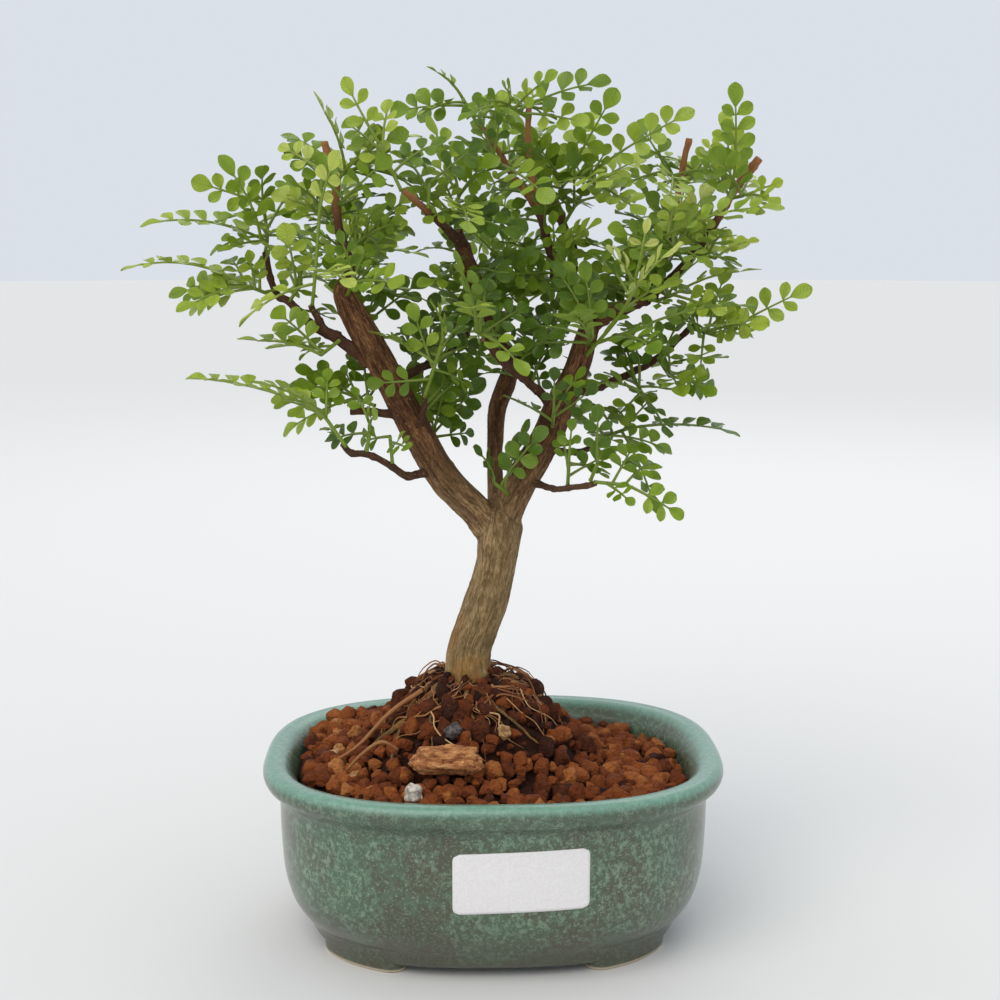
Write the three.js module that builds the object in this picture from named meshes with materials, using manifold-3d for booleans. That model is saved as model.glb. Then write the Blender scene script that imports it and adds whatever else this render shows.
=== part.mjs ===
// Japanese pepper bonsai: a small trained tree in a glazed stoneware pot.
// Millimetres, +Z up. Everything is laid out with the middle of the pot over zero and the
// feet on z = 0; the last lines move the middle of the whole outline over the origin.

import * as THREE from 'three';
import { mergeVertices } from 'three/addons/utils/BufferGeometryUtils.js';
import Module from 'manifold-3d';

// Driving dimensions

const POT_WIDTH = 130;
const POT_DEPTH = 110;
const POT_HEIGHT = 52.5;
const POT_SQUARENESS = 2.7;     // exponent of the squarish oval: 2 is an ellipse
const POT_SEGMENTS = 28;
const FLOOR_TOP = 8.5;
const DRAIN_OFFSET = 24;
const DRAIN_DIAMETER = 12;
const DRAIN_SIDES = 16;
const FOOT_HEIGHT = 5;
const FOOT_INSET = 14;
const FOOT_THICKNESS = 9;
const FOOT_START = 22;          // degrees round the outline, from the long axis
const FOOT_END = 64;

const GAP = 0.35;               // clearance where two pieces rest on each other
const CUT_MARGIN = 5;           // how far a cutting body runs past what it cuts

const SCREEN_SIZE = 22;
const SCREEN_THICKNESS = 1;
const SCREEN_HOLES = 2;
const SCREEN_BAR = 1.4;

const SOIL_LEVEL = 48;
const SOIL_TILT = 0.04;         // the soil lies lower towards +X
const MOUND_HEIGHT = 24;
const MOUND_RADIUS = 28;
const MOUND_X = -5;
const MOUND_Y = 2;
const BANK_HEIGHT = 3.5;          // a low bank at the back left
const GRAIN_PITCH = 5.7;
const GRAIN_RELIEF = 1.5;
const GRAIN_JITTER = 0.3;       // of the pitch
const SOIL_SEED = 20817;

const ROOT_SIDES = 4;
const ROOT_STEPS = 5;
const ROOT_TAPER = 0.55;
const ROOT_CROWN = 72;          // the roots leave the trunk no higher than this

const LABEL_WIDTH = 36;
const LABEL_HEIGHT = 16.8;
const LABEL_X = 6.2;
const LABEL_Z = 30.8;
const LABEL_TILT = 0.03;
const LABEL_THICKNESS = 0.4;
const LABEL_CORNER = 0.96;      // the corners are drawn in a little, for a rounded outline

const LEAF_THICKNESS = 0.62;
const LEAFLET_LENGTH = 8.2;
const LEAFLET_WIDTH = 6.3;
const LEAFLET_SWEEP = 1.15;     // radians between the rib and a side leaflet
// Outer corners of a side leaflet: [part of its length, part of its half width]
const LEAFLET_OUTLINE = [[0.8, -0.9], [0.85, 0.8]];
const LEAFLET_REACH = 1.65;     // span of a side leaflet along the rib, in half widths
const LEAFLET_PARTING = 1;      // space left between neighbours on a rib
const LEAF_FOLD = 0.16;         // rise of a leaflet for each millimetre out from the rib
const RIB_HALF_WIDTH = 0.45;
const RIB_FOOT = 0.28;          // half width where a rib leaves its stem
const STEM_RADIUS = 0.75;
const STEM_TAPER = 0.06;
const STEM_SIDES = 4;
const LEAF_SEED = 13;

// Room that a frond keeps around itself, measured from points along its rib and leaflets
const CLEAR_OF_WOOD = 2;
const CLEAR_NEAR_SEAT = 0.9;
const NEAR_SEAT = 7;
const CLEAR_OF_STEMS = 2.3;
const CLEAR_OF_LEAVES = 3.4;
const CLEAR_OF_SISTERS = 2;
const TRIES = 60;
const TRY_SPREAD = 0.022;

// Fronds that fill the crown between the listed ones
const FILL_SEED = 24;
const FILL_COUNT = 13;
const FILL_CHOICES = 120;       // places compared for each of them
const FILL_PAIRS = 2;
const FILL_LENGTH = 24;
const FILL_LENGTH_SPREAD = 6;
const FILL_LOWEST = -0.35;      // how far below level a frond may point, as a sine
const CROWN_DEPTH = 52;         // from the middle of the crown to its front and back
// The crown seen from the front: across it, the heights of its lowest and highest leaves
const CROWN_OUTLINE = [
  [-98, 186, 196], [-85, 172, 210], [-70, 150, 222], [-45, 138, 240], [-25, 146, 233],
  [0, 154, 238], [15, 142, 243], [30, 128, 242], [50, 124, 238], [68, 136, 238],
  [80, 160, 210], [90, 180, 187],
];

const wasm = await Module();
wasm.setup();

// Repeatable draws between -1 and 1, one stream for the soil and one for the foliage

function drawsFrom(seed) {
  let state = seed;
  return () => {
    state = (Math.imul(state, 1664525) + 1013904223) >>> 0;
    return (2 * state) / 2 ** 32 - 1;
  };
}

const soilSpread = drawsFrom(SOIL_SEED);
const leafSpread = drawsFrom(LEAF_SEED);
const fillSpread = drawsFrom(FILL_SEED);

// Small helpers for points and solids

const vec = ([x, y, z]) => new THREE.Vector3(x, y, z);

function solidOf(geometry) {
  const bare = geometry.index ? geometry.clone() : geometry;
  bare.deleteAttribute('normal');
  bare.deleteAttribute('uv');
  const merged = mergeVertices(bare, 1e-4);
  return new wasm.Manifold(new wasm.Mesh({
    numProp: 3,
    vertProperties: new Float32Array(merged.attributes.position.array),
    triVerts: new Uint32Array(merged.index.array),
  }));
}

function joined(solids) {
  return solids.reduce((whole, next) => whole.add(next));
}

function largestBody(solid) {
  const bodies = solid.decompose();
  bodies.sort((a, b) => b.volume() - a.volume());
  return bodies[0];
}

function meshOf(solid, name, material) {
  const { vertProperties, triVerts, numProp } = solid.getMesh();
  const positions = new Float32Array((vertProperties.length / numProp) * 3);
  for (let i = 0; i < positions.length / 3; i += 1) {
    positions.set(vertProperties.subarray(i * numProp, i * numProp + 3), i * 3);
  }
  const geometry = new THREE.BufferGeometry();
  geometry.setAttribute('position', new THREE.BufferAttribute(positions, 3));
  geometry.setIndex(new THREE.BufferAttribute(new Uint32Array(triVerts), 1));
  geometry.computeVertexNormals();
  const mesh = new THREE.Mesh(geometry, material);
  mesh.name = name;
  return mesh;
}

// A closed body from points and triangles
function bodyOf(points, faces) {
  const geometry = new THREE.BufferGeometry();
  const places = points.flatMap(({ x, y, z }) => [x, y, z]);
  geometry.setAttribute('position', new THREE.Float32BufferAttribute(places, 3));
  geometry.setIndex(faces.flat());
  return solidOf(geometry);
}

// A skin over a stack of rings with equal counts, each ring anticlockwise seen from the far end
function skin(rings) {
  const count = rings[0].length;
  const faces = [];
  for (let r = 0; r < rings.length - 1; r += 1) {
    for (let i = 0; i < count; i += 1) {
      const a = r * count + i;
      const b = r * count + ((i + 1) % count);
      faces.push([a, b, b + count], [a, b + count, a + count]);
    }
  }
  const last = (rings.length - 1) * count;
  for (let i = 1; i < count - 1; i += 1) {
    faces.push([0, i + 1, i], [last, last + i, last + i + 1]);
  }
  return bodyOf(rings.flat(), faces);
}

// A round bar through stations [x, y, z, radius], each section square to the way it runs
const ANY_SIDE = new THREE.Vector3(0.31, 0.94, 0.12);

function bar(stations, sides, extra = 0) {
  const centres = stations.map(vec);
  let across = ANY_SIDE;
  const rings = centres.map((centre, k) => {
    const before = centres[Math.max(k - 1, 0)];
    const after = centres[Math.min(k + 1, centres.length - 1)];
    const along = after.clone().sub(before).normalize();
    across = across.clone().addScaledVector(along, -across.dot(along)).normalize();
    const other = along.clone().cross(across);
    const radius = stations[k][3] + extra;
    return Array.from({ length: sides }, (_, i) => {
      const turn = (2 * Math.PI * i) / sides;
      return centre.clone()
        .addScaledVector(across, radius * Math.cos(turn))
        .addScaledVector(other, radius * Math.sin(turn));
    });
  });
  return skin(rings);
}

// The pot: squarish oval plan, rolled lip, bulging wall, four corner feet, two drain holes

function ovalPoint(inset, turn) {
  const power = 2 / POT_SQUARENESS;
  const c = Math.cos(turn);
  const s = Math.sin(turn);
  return {
    x: (POT_WIDTH / 2 - inset) * Math.sign(c) * Math.abs(c) ** power,
    y: (POT_DEPTH / 2 - inset) * Math.sign(s) * Math.abs(s) ** power,
  };
}

function ovalRing(inset, z) {
  return Array.from({ length: POT_SEGMENTS }, (_, i) => {
    const { x, y } = ovalPoint(inset, (2 * Math.PI * (i + 0.5)) / POT_SEGMENTS);
    return new THREE.Vector3(x, y, z);
  });
}

// Profiles as [distance in from the rim outline, height]
const OUTER_PROFILE = [
  [16, 2.6], [14.2, 3.2], [13.2, 7], [9.8, 10.4], [7, 15.6], [5.4, 22.5], [4.6, 33],
  [4.3, 44.4], [1.3, 47], [0, 49], [0.4, 51.2], [2.6, POT_HEIGHT],
];
const INNER_PROFILE = [
  [21, FLOOR_TOP], [14, 9.6], [11.6, 15], [10.4, 30], [9.8, 45], [7.6, 50.4], [5.2, POT_HEIGHT],
];

function wallSolid(profile, insetMore = 0, raise = 0) {
  return skin(profile.map(([inset, z]) => ovalRing(inset + insetMore, z + raise)));
}

function footSolid(mirrorX, mirrorY) {
  const steps = 5;
  const outline = [];
  const turnAt = (i) => THREE.MathUtils.degToRad(FOOT_START + ((FOOT_END - FOOT_START) * i) / steps);
  for (let i = 0; i <= steps; i += 1) outline.push(ovalPoint(FOOT_INSET, turnAt(i)));
  for (let i = steps; i >= 0; i -= 1) outline.push(ovalPoint(FOOT_INSET + FOOT_THICKNESS, turnAt(i)));
  const shape = new THREE.Shape(outline.map(({ x, y }) => new THREE.Vector2(x * mirrorX, y * mirrorY)));
  return solidOf(new THREE.ExtrudeGeometry(shape, { depth: FOOT_HEIGHT, bevelEnabled: false }));
}

function potSolid() {
  const brimInset = INNER_PROFILE.at(-1)[0];
  const hollow = [...INNER_PROFILE, [brimInset, POT_HEIGHT + CUT_MARGIN]];
  let pot = wallSolid(OUTER_PROFILE).subtract(wallSolid(hollow));
  for (const mirrorX of [-1, 1]) {
    for (const mirrorY of [-1, 1]) pot = pot.add(footSolid(mirrorX, mirrorY));
    const drainRadius = DRAIN_DIAMETER / 2;
    const drain = new THREE.CylinderGeometry(drainRadius, drainRadius, 4 * FLOOR_TOP, DRAIN_SIDES);
    drain.rotateX(Math.PI / 2).translate(mirrorX * DRAIN_OFFSET, 0, 0);
    pot = pot.subtract(solidOf(drain));
  }
  return pot;
}

// A square plastic screen over each drain hole, lying on the floor of the pot

function boxSolid(width, depth, height, x, y, z) {
  return solidOf(new THREE.BoxGeometry(width, depth, height).translate(x, y, z));
}

function screenSolid(centreX) {
  const pitch = (SCREEN_SIZE - SCREEN_BAR) / SCREEN_HOLES;
  const middle = FLOOR_TOP + GAP + SCREEN_THICKNESS / 2;
  const bars = [];
  for (let i = 0; i <= SCREEN_HOLES; i += 1) {
    const off = (i - SCREEN_HOLES / 2) * pitch;
    bars.push(boxSolid(SCREEN_BAR, SCREEN_SIZE, SCREEN_THICKNESS, centreX + off, 0, middle));
    bars.push(boxSolid(SCREEN_SIZE, SCREEN_BAR, SCREEN_THICKNESS, centreX, off, middle));
  }
  return joined(bars);
}

// The wood: routes as [x, y, z, radius], each starting inside the limb that carries it

const TRUNK = [
  [-7, 0, 58, 6.4], [-6.9, 0, 72, 6.5], [-6.2, 0, 82, 6.1], [-2, -1, 94.5, 6.1],
  [0.6, -2, 105.6, 5.5], [1.8, -2, 115.6, 6], [2.3, -2, 121.8, 4.8],
];
const LIMBS = {
  left: [
    [1.2, -2, 113, 4.2], [-4.1, -3, 120.9, 4.4], [-13, -5, 130.3, 4.3], [-19.9, -6, 141.6, 4.2],
    [-26, -8, 153.7, 4], [-31.3, -9, 163.9, 3.9], [-36, -10, 172.6, 3.9], [-40.2, -10, 181.2, 3],
  ],
  middle: [
    [2.1, 0, 116, 3], [0.8, 4, 131.7, 2.3], [1, 7, 140.7, 2.4], [1.5, 9, 148.5, 2.6],
    [3.9, 12, 155, 2.8], [6.2, 14, 161, 2.3],
  ],
  right: [
    [2.3, -2, 116, 4.6], [7.3, -3, 127.9, 4.6], [14.7, -5, 141.3, 4.3], [17.6, -6, 149.2, 4.1],
    [20.8, -7, 156.5, 3.7], [23.4, -8, 163.1, 3.4], [25, -8, 169.1, 3.1], [26.9, -8, 175.1, 2.6],
  ],
};
const TWIGS = {
  left_low: [
    [-17, -5, 133, 1.3], [-23.1, -12, 132.5, 1.1], [-28.9, -17, 136.5, 0.9], [-34.1, -20, 139.9, 0.9],
    [-37.9, -22, 140.2, 0.9], [-40.4, -24, 142.9, 0.8],
  ],
  left_stub: [[-25.5, -8, 148.8, 1.3], [-32.4, -6, 149.4, 1.1], [-39.1, -4, 149.5, 1]],
  left_side: [
    [-34, -9, 163.5, 1.9], [-41.9, -12, 170.1, 1.5], [-45.2, -14, 172.6, 1.1],
    [-48.5, -17, 179.1, 0.8],
  ],
  left_outer: [
    [-41.9, -12, 170.1, 1.4], [-49.4, -8, 173.6, 1.2], [-55.4, -3, 179, 1.1], [-59.2, 0, 181.6, 1],
    [-61.2, 2, 186.5, 0.9], [-62.6, 4, 192.7, 0.8],
  ],
  left_rise: [
    [-39.5, -10, 178, 2], [-38.6, -8, 188.1, 1.4], [-41.7, -7, 200.1, 1.2], [-42.4, -6, 210.7, 1.1],
    [-45, -5, 222.3, 1],
  ],
  left_inner: [[-20.5, -6, 143, 1.2], [-18.8, -14, 151.6, 0.8], [-18.8, -17, 155.1, 0.7]],
  left_cross: [
    [-26.8, -8, 157.3, 1.5], [-20.6, 0, 160.7, 1.2], [-14, 10, 163.2, 1.1], [-6.5, 22, 168.9, 0.9],
  ],
  middle_rise: [
    [6.2, 14, 159.5, 2.3], [2.4, 10, 168, 1.9], [-2.5, 6, 178, 1.8], [-5.9, 2, 188.4, 2.1],
    [-9.7, -1, 198.5, 1.8],
  ],
  middle_arm: [
    [-8, 0, 194.5, 1.4], [-14.6, -8, 200.9, 1], [-18.2, -12, 204, 1], [-23.9, -18, 209.1, 0.7],
  ],
  middle_right: [[5.5, 13.5, 159.5, 1.9], [11.1, 20, 163.6, 1.5], [19.6, 32, 169.4, 1]],
  right_cross: [
    [16.5, -6, 150.5, 1.4], [10.5, -10, 157.1, 1.2], [2.9, -17, 163.6, 1.2], [-2.8, -23, 170.2, 0.9],
  ],
  right_low: [
    [9, -3.5, 130, 1.2], [15, -10, 129, 0.9], [18.7, -16, 129.3, 0.8], [26.7, -24, 132.1, 0.8],
  ],
  right_back: [[14.5, -5, 140, 1.2], [19.6, 2, 137.3, 1], [24.8, 8, 136.2, 0.9], [30.8, 14, 137.7, 0.8]],
  right_side: [
    [20.5, -7, 155.5, 1.5], [26.5, -2, 154.6, 1.2], [32.8, 4, 156.6, 1.1], [40.5, 8, 159.3, 1],
    [47.2, 12, 162.6, 0.9], [57.5, 15, 171.8, 0.8],
  ],
  right_arm: [[26.5, -8, 173.5, 2.4], [32.7, -4, 176.2, 1.9], [38.6, 0, 178.2, 1.7], [45.7, 6, 181, 1.4]],
  right_long: [
    [43.5, 4, 180.3, 1.3], [52.3, 8, 187.1, 1.2], [60.8, 10, 197.3, 1.1],
    [67.6, 8, 209.2, 1.1], [73.7, 4, 218, 1.2],
  ],
  centre_left: [
    [26.5, -8, 173.5, 2.2], [22.7, -2, 179.7, 1.9], [18.6, 4, 184.7, 1.7], [16.8, 6, 191.3, 1.3],
    [12.8, 6, 204.5, 1], [9.8, 2, 221.4, 0.8], [9.9, 0, 234, 0.8],
  ],
  centre_right: [
    [21.5, 0, 181, 1.7], [23.2, 14, 192.5, 1.4], [21.1, 18, 198.7, 1.3], [18.7, 20, 205.7, 1.2],
    [14.1, 20, 214.7, 1],
  ],
  right_stub: [[45, 5.5, 180.5, 1.3], [50.4, 16, 195.9, 1], [55.1, 20, 216.9, 0.9], [56.4, 20, 224.2, 0.9]],
  centre_stub: [[13.4, 6, 203, 0.9], [7.4, 10, 211.6, 0.8], [-1.2, 13, 225.4, 0.8], [-3.4, 13, 228.1, 0.8]],
  back_left: [[-31, -9, 163.5, 1.6], [-35, 4, 171, 1.3], [-38, 18, 180, 1.1], [-41, 30, 187, 0.9]],
  back_middle: [[16, 27, 167.3, 1.2], [10, 38, 176, 1], [6, 46, 185, 0.8]],
  back_right: [[42.5, 3.5, 179.8, 1.4], [48, 22, 183, 1.1], [54, 38, 191, 0.8]],
  back_top: [[20, 19.5, 202, 1.2], [14, 30, 208, 1], [8, 37, 213, 0.8]],
};

// Roots fan out over the mound: [direction in degrees, reach, sideways bow, radius]
const ROOTS = [
  [196, 34, 5, 1.5], [226, 32, -6, 1.2], [246, 26, -3, 1.1], [284, 25, -3, 1.1], [314, 26, -4, 1.1],
  [350, 25, 4, 2], [40, 27, -4, 1.3], [130, 29, -5, 1.4],
];

function soilHeight(x, y) {
  const away = Math.hypot(x - MOUND_X, y - MOUND_Y) / MOUND_RADIUS;
  const bank = BANK_HEIGHT * Math.exp(-(((x + 42) / 22) ** 2) - (((y - 28) / 18) ** 2));
  return SOIL_LEVEL - SOIL_TILT * x + bank + MOUND_HEIGHT * Math.exp(-(away ** 3));
}

function rootStations([degrees, reach, bow, radius]) {
  const turn = THREE.MathUtils.degToRad(degrees);
  const [startX, startY] = TRUNK[1];
  const stations = [];
  for (let i = 0; i <= ROOT_STEPS; i += 1) {
    const part = i / ROOT_STEPS;
    const out = reach * part;
    const aside = bow * Math.sin(Math.PI * part);
    const x = startX + out * Math.cos(turn) - aside * Math.sin(turn);
    const y = startY + out * Math.sin(turn) + aside * Math.cos(turn);
    const thick = radius * (1 - ROOT_TAPER * part);
    stations.push([x, y, Math.min(soilHeight(x, y) + 0.45 * thick, ROOT_CROWN), thick]);
  }
  return stations;
}

function woodRoutes() {
  return [
    { stations: TRUNK, sides: 11 },
    ...Object.values(LIMBS).map((stations) => ({ stations, sides: 8 })),
    ...Object.values(TWIGS).map((stations) => ({ stations, sides: stations[0][3] > 1.45 ? 5 : 4 })),
  ];
}

function treeSolid() {
  const limbs = woodRoutes().map(({ stations, sides }) => bar(stations, sides));
  const roots = ROOTS.map((root) => bar(rootStations(root), ROOT_SIDES));
  return joined([...limbs, ...roots]);
}

// The hole that the wood leaves in the soil
function woodInSoil() {
  const trunk = TRUNK.map(([x, y, z, r], i) => [x, y, i === 0 ? z - GAP : z, r]);
  return joined([
    bar(trunk, 11, GAP),
    ...ROOTS.map((root) => {
      const stations = rootStations(root);
      const [x, y, z, r] = stations[ROOT_STEPS];
      const turn = THREE.MathUtils.degToRad(root[0]);
      stations[ROOT_STEPS] = [x + GAP * Math.cos(turn), y + GAP * Math.sin(turn), z, r];
      return bar(stations, ROOT_SIDES, 1.3 * GAP);
    }),
  ]);
}

// Loose pieces lying on the soil: lumpy stones and a flake of bark

function stoneSolid({ at, size, turn, seed }, extra = 0) {
  const geometry = new THREE.IcosahedronGeometry(1, size[0] > 5 ? 1 : 0);
  const position = geometry.attributes.position;
  const point = new THREE.Vector3();
  for (let i = 0; i < position.count; i += 1) {
    point.fromBufferAttribute(position, i);
    const swell = 0.13 * Math.sin(5 * point.x + seed) * Math.cos(4 * point.y - seed);
    const ripple = 0.08 * Math.sin(7 * point.z + 2 * seed);
    point.multiplyScalar(1 + swell + ripple).multiply(vec(size).addScalar(extra));
    position.setXYZ(i, point.x, point.y, point.z);
  }
  geometry.rotateZ(turn).translate(...at);
  return solidOf(geometry);
}

const LOOSE_PIECES = {
  bark_chip: { at: [-13, -30, 57.6], size: [9.2, 4, 3.6], turn: -0.06, seed: 1.3 },
  pumice_pebble: { at: [-22, -38, 51], size: [2.5, 2.2, 3], turn: 0.4, seed: 2.1 },
  grey_pebble: { at: [-11.1, -20.6, 62.9], size: [2.6, 2.2, 2.2], turn: 0.2, seed: 3.7 },
  tan_pebble: { at: [2.5, -20, 62.2], size: [2.1, 2, 2], turn: 1.1, seed: 4.4 },
};

// Akadama soil: fills the pot, mounds up round the roots, its top broken into grains

function soilSolid() {
  const across = Math.ceil(POT_WIDTH / GRAIN_PITCH);
  const deep = Math.ceil(POT_DEPTH / GRAIN_PITCH);
  const points = [];
  for (let j = 0; j <= deep; j += 1) {
    for (let i = 0; i <= across; i += 1) {
      const stagger = j % 2 ? 0.25 : -0.25;
      const x = GRAIN_PITCH * (i - across / 2 + stagger + GRAIN_JITTER * soilSpread());
      const y = GRAIN_PITCH * (j - deep / 2 + GRAIN_JITTER * soilSpread());
      points.push(new THREE.Vector3(x, y, soilHeight(x, y) + GRAIN_RELIEF * (soilSpread() - 0.35)));
    }
  }
  const row = across + 1;
  const count = points.length;
  const faces = [];
  for (let j = 0; j < deep; j += 1) {
    for (let i = 0; i < across; i += 1) {
      const a = j * row + i;
      faces.push([a, a + 1, a + row + 1], [a, a + row + 1, a + row]);
    }
  }
  const edge = [];
  for (let i = 0; i < across; i += 1) edge.push(i);
  for (let j = 0; j < deep; j += 1) edge.push(j * row + across);
  for (let i = across; i > 0; i -= 1) edge.push(deep * row + i);
  for (let j = deep; j > 0; j -= 1) edge.push(j * row);
  for (const e of edge) points.push(new THREE.Vector3(points[e].x, points[e].y, 0));
  const centre = points.length;
  points.push(new THREE.Vector3(0, 0, 0));
  edge.forEach((e, k) => {
    const next = (k + 1) % edge.length;
    faces.push([e, count + k, count + next], [e, count + next, edge[next]]);
    faces.push([count + k, centre, count + next]);
  });
  const belowLip = INNER_PROFILE.slice(0, 5);
  const column = [...belowLip, [belowLip.at(-1)[0], POT_HEIGHT + MOUND_HEIGHT + CUT_MARGIN]];
  const inside = wallSolid(column, GAP, GAP);
  let soil = bodyOf(points, faces).intersect(inside);
  for (const side of [-1, 1]) {
    const pocket = SCREEN_SIZE + 2 * GAP;
    const tall = 2 * (SCREEN_THICKNESS + 2 * GAP);
    soil = soil.subtract(boxSolid(pocket, pocket, tall, side * DRAIN_OFFSET, 0, FLOOR_TOP));
  }
  soil = soil.subtract(woodInSoil());
  for (const piece of Object.values(LOOSE_PIECES)) soil = soil.subtract(stoneSolid(piece, GAP));
  return largestBody(soil);
}

// Paper label on the front wall, following its curve

function wallFront(x, z) {
  let inset = OUTER_PROFILE[0][0];
  for (let i = 1; i < OUTER_PROFILE.length; i += 1) {
    const [lowInset, low] = OUTER_PROFILE[i - 1];
    const [highInset, high] = OUTER_PROFILE[i];
    if (z >= low && z <= high) inset = lowInset + ((highInset - lowInset) * (z - low)) / (high - low);
  }
  const halfWidth = POT_WIDTH / 2 - inset;
  const halfDepth = POT_DEPTH / 2 - inset;
  return -halfDepth * (1 - Math.abs(x / halfWidth) ** POT_SQUARENESS) ** (1 / POT_SQUARENESS);
}

function labelSolid() {
  const columns = 6;
  const rows = 3;
  const points = [];
  for (const off of [GAP, GAP + LABEL_THICKNESS]) {
    for (let j = 0; j <= rows; j += 1) {
      for (let i = 0; i <= columns; i += 1) {
        const atCorner = (i === 0 || i === columns) && (j === 0 || j === rows);
        const corner = atCorner ? LABEL_CORNER : 1;
        const across = (i / columns - 0.5) * LABEL_WIDTH * corner;
        const x = LABEL_X + across;
        const z = LABEL_Z + (j / rows - 0.5) * LABEL_HEIGHT * corner + LABEL_TILT * across;
        points.push(new THREE.Vector3(x, wallFront(x, z) - off, z));
      }
    }
  }
  const row = columns + 1;
  const layer = row * (rows + 1);
  const faces = [];
  const quad = (a, b, c, d) => faces.push([a, b, c], [a, c, d]);
  for (let j = 0; j < rows; j += 1) {
    for (let i = 0; i < columns; i += 1) {
      const a = j * row + i;
      quad(layer + a, layer + a + 1, layer + a + row + 1, layer + a + row);
      quad(a, a + row, a + row + 1, a + 1);
    }
  }
  for (let i = 0; i < columns; i += 1) {
    const top = rows * row + i;
    quad(i, i + 1, layer + i + 1, layer + i);
    quad(top, layer + top, layer + top + 1, top + 1);
  }
  for (let j = 0; j < rows; j += 1) {
    const left = j * row;
    const right = left + columns;
    quad(left, layer + left, layer + left + row, left + row);
    quad(right, right + row, layer + right + row, layer + right);
  }
  return bodyOf(points, faces);
}

// Foliage. A shoot is [name, stem points, fronds]; its stem starts on the nearest wood.
// A frond is [how far up the stem it starts, tip, pairs of side leaflets, facing].
// Facing 0 lies level, 1 shows its upper face to the front, -1 to the back.

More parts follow.
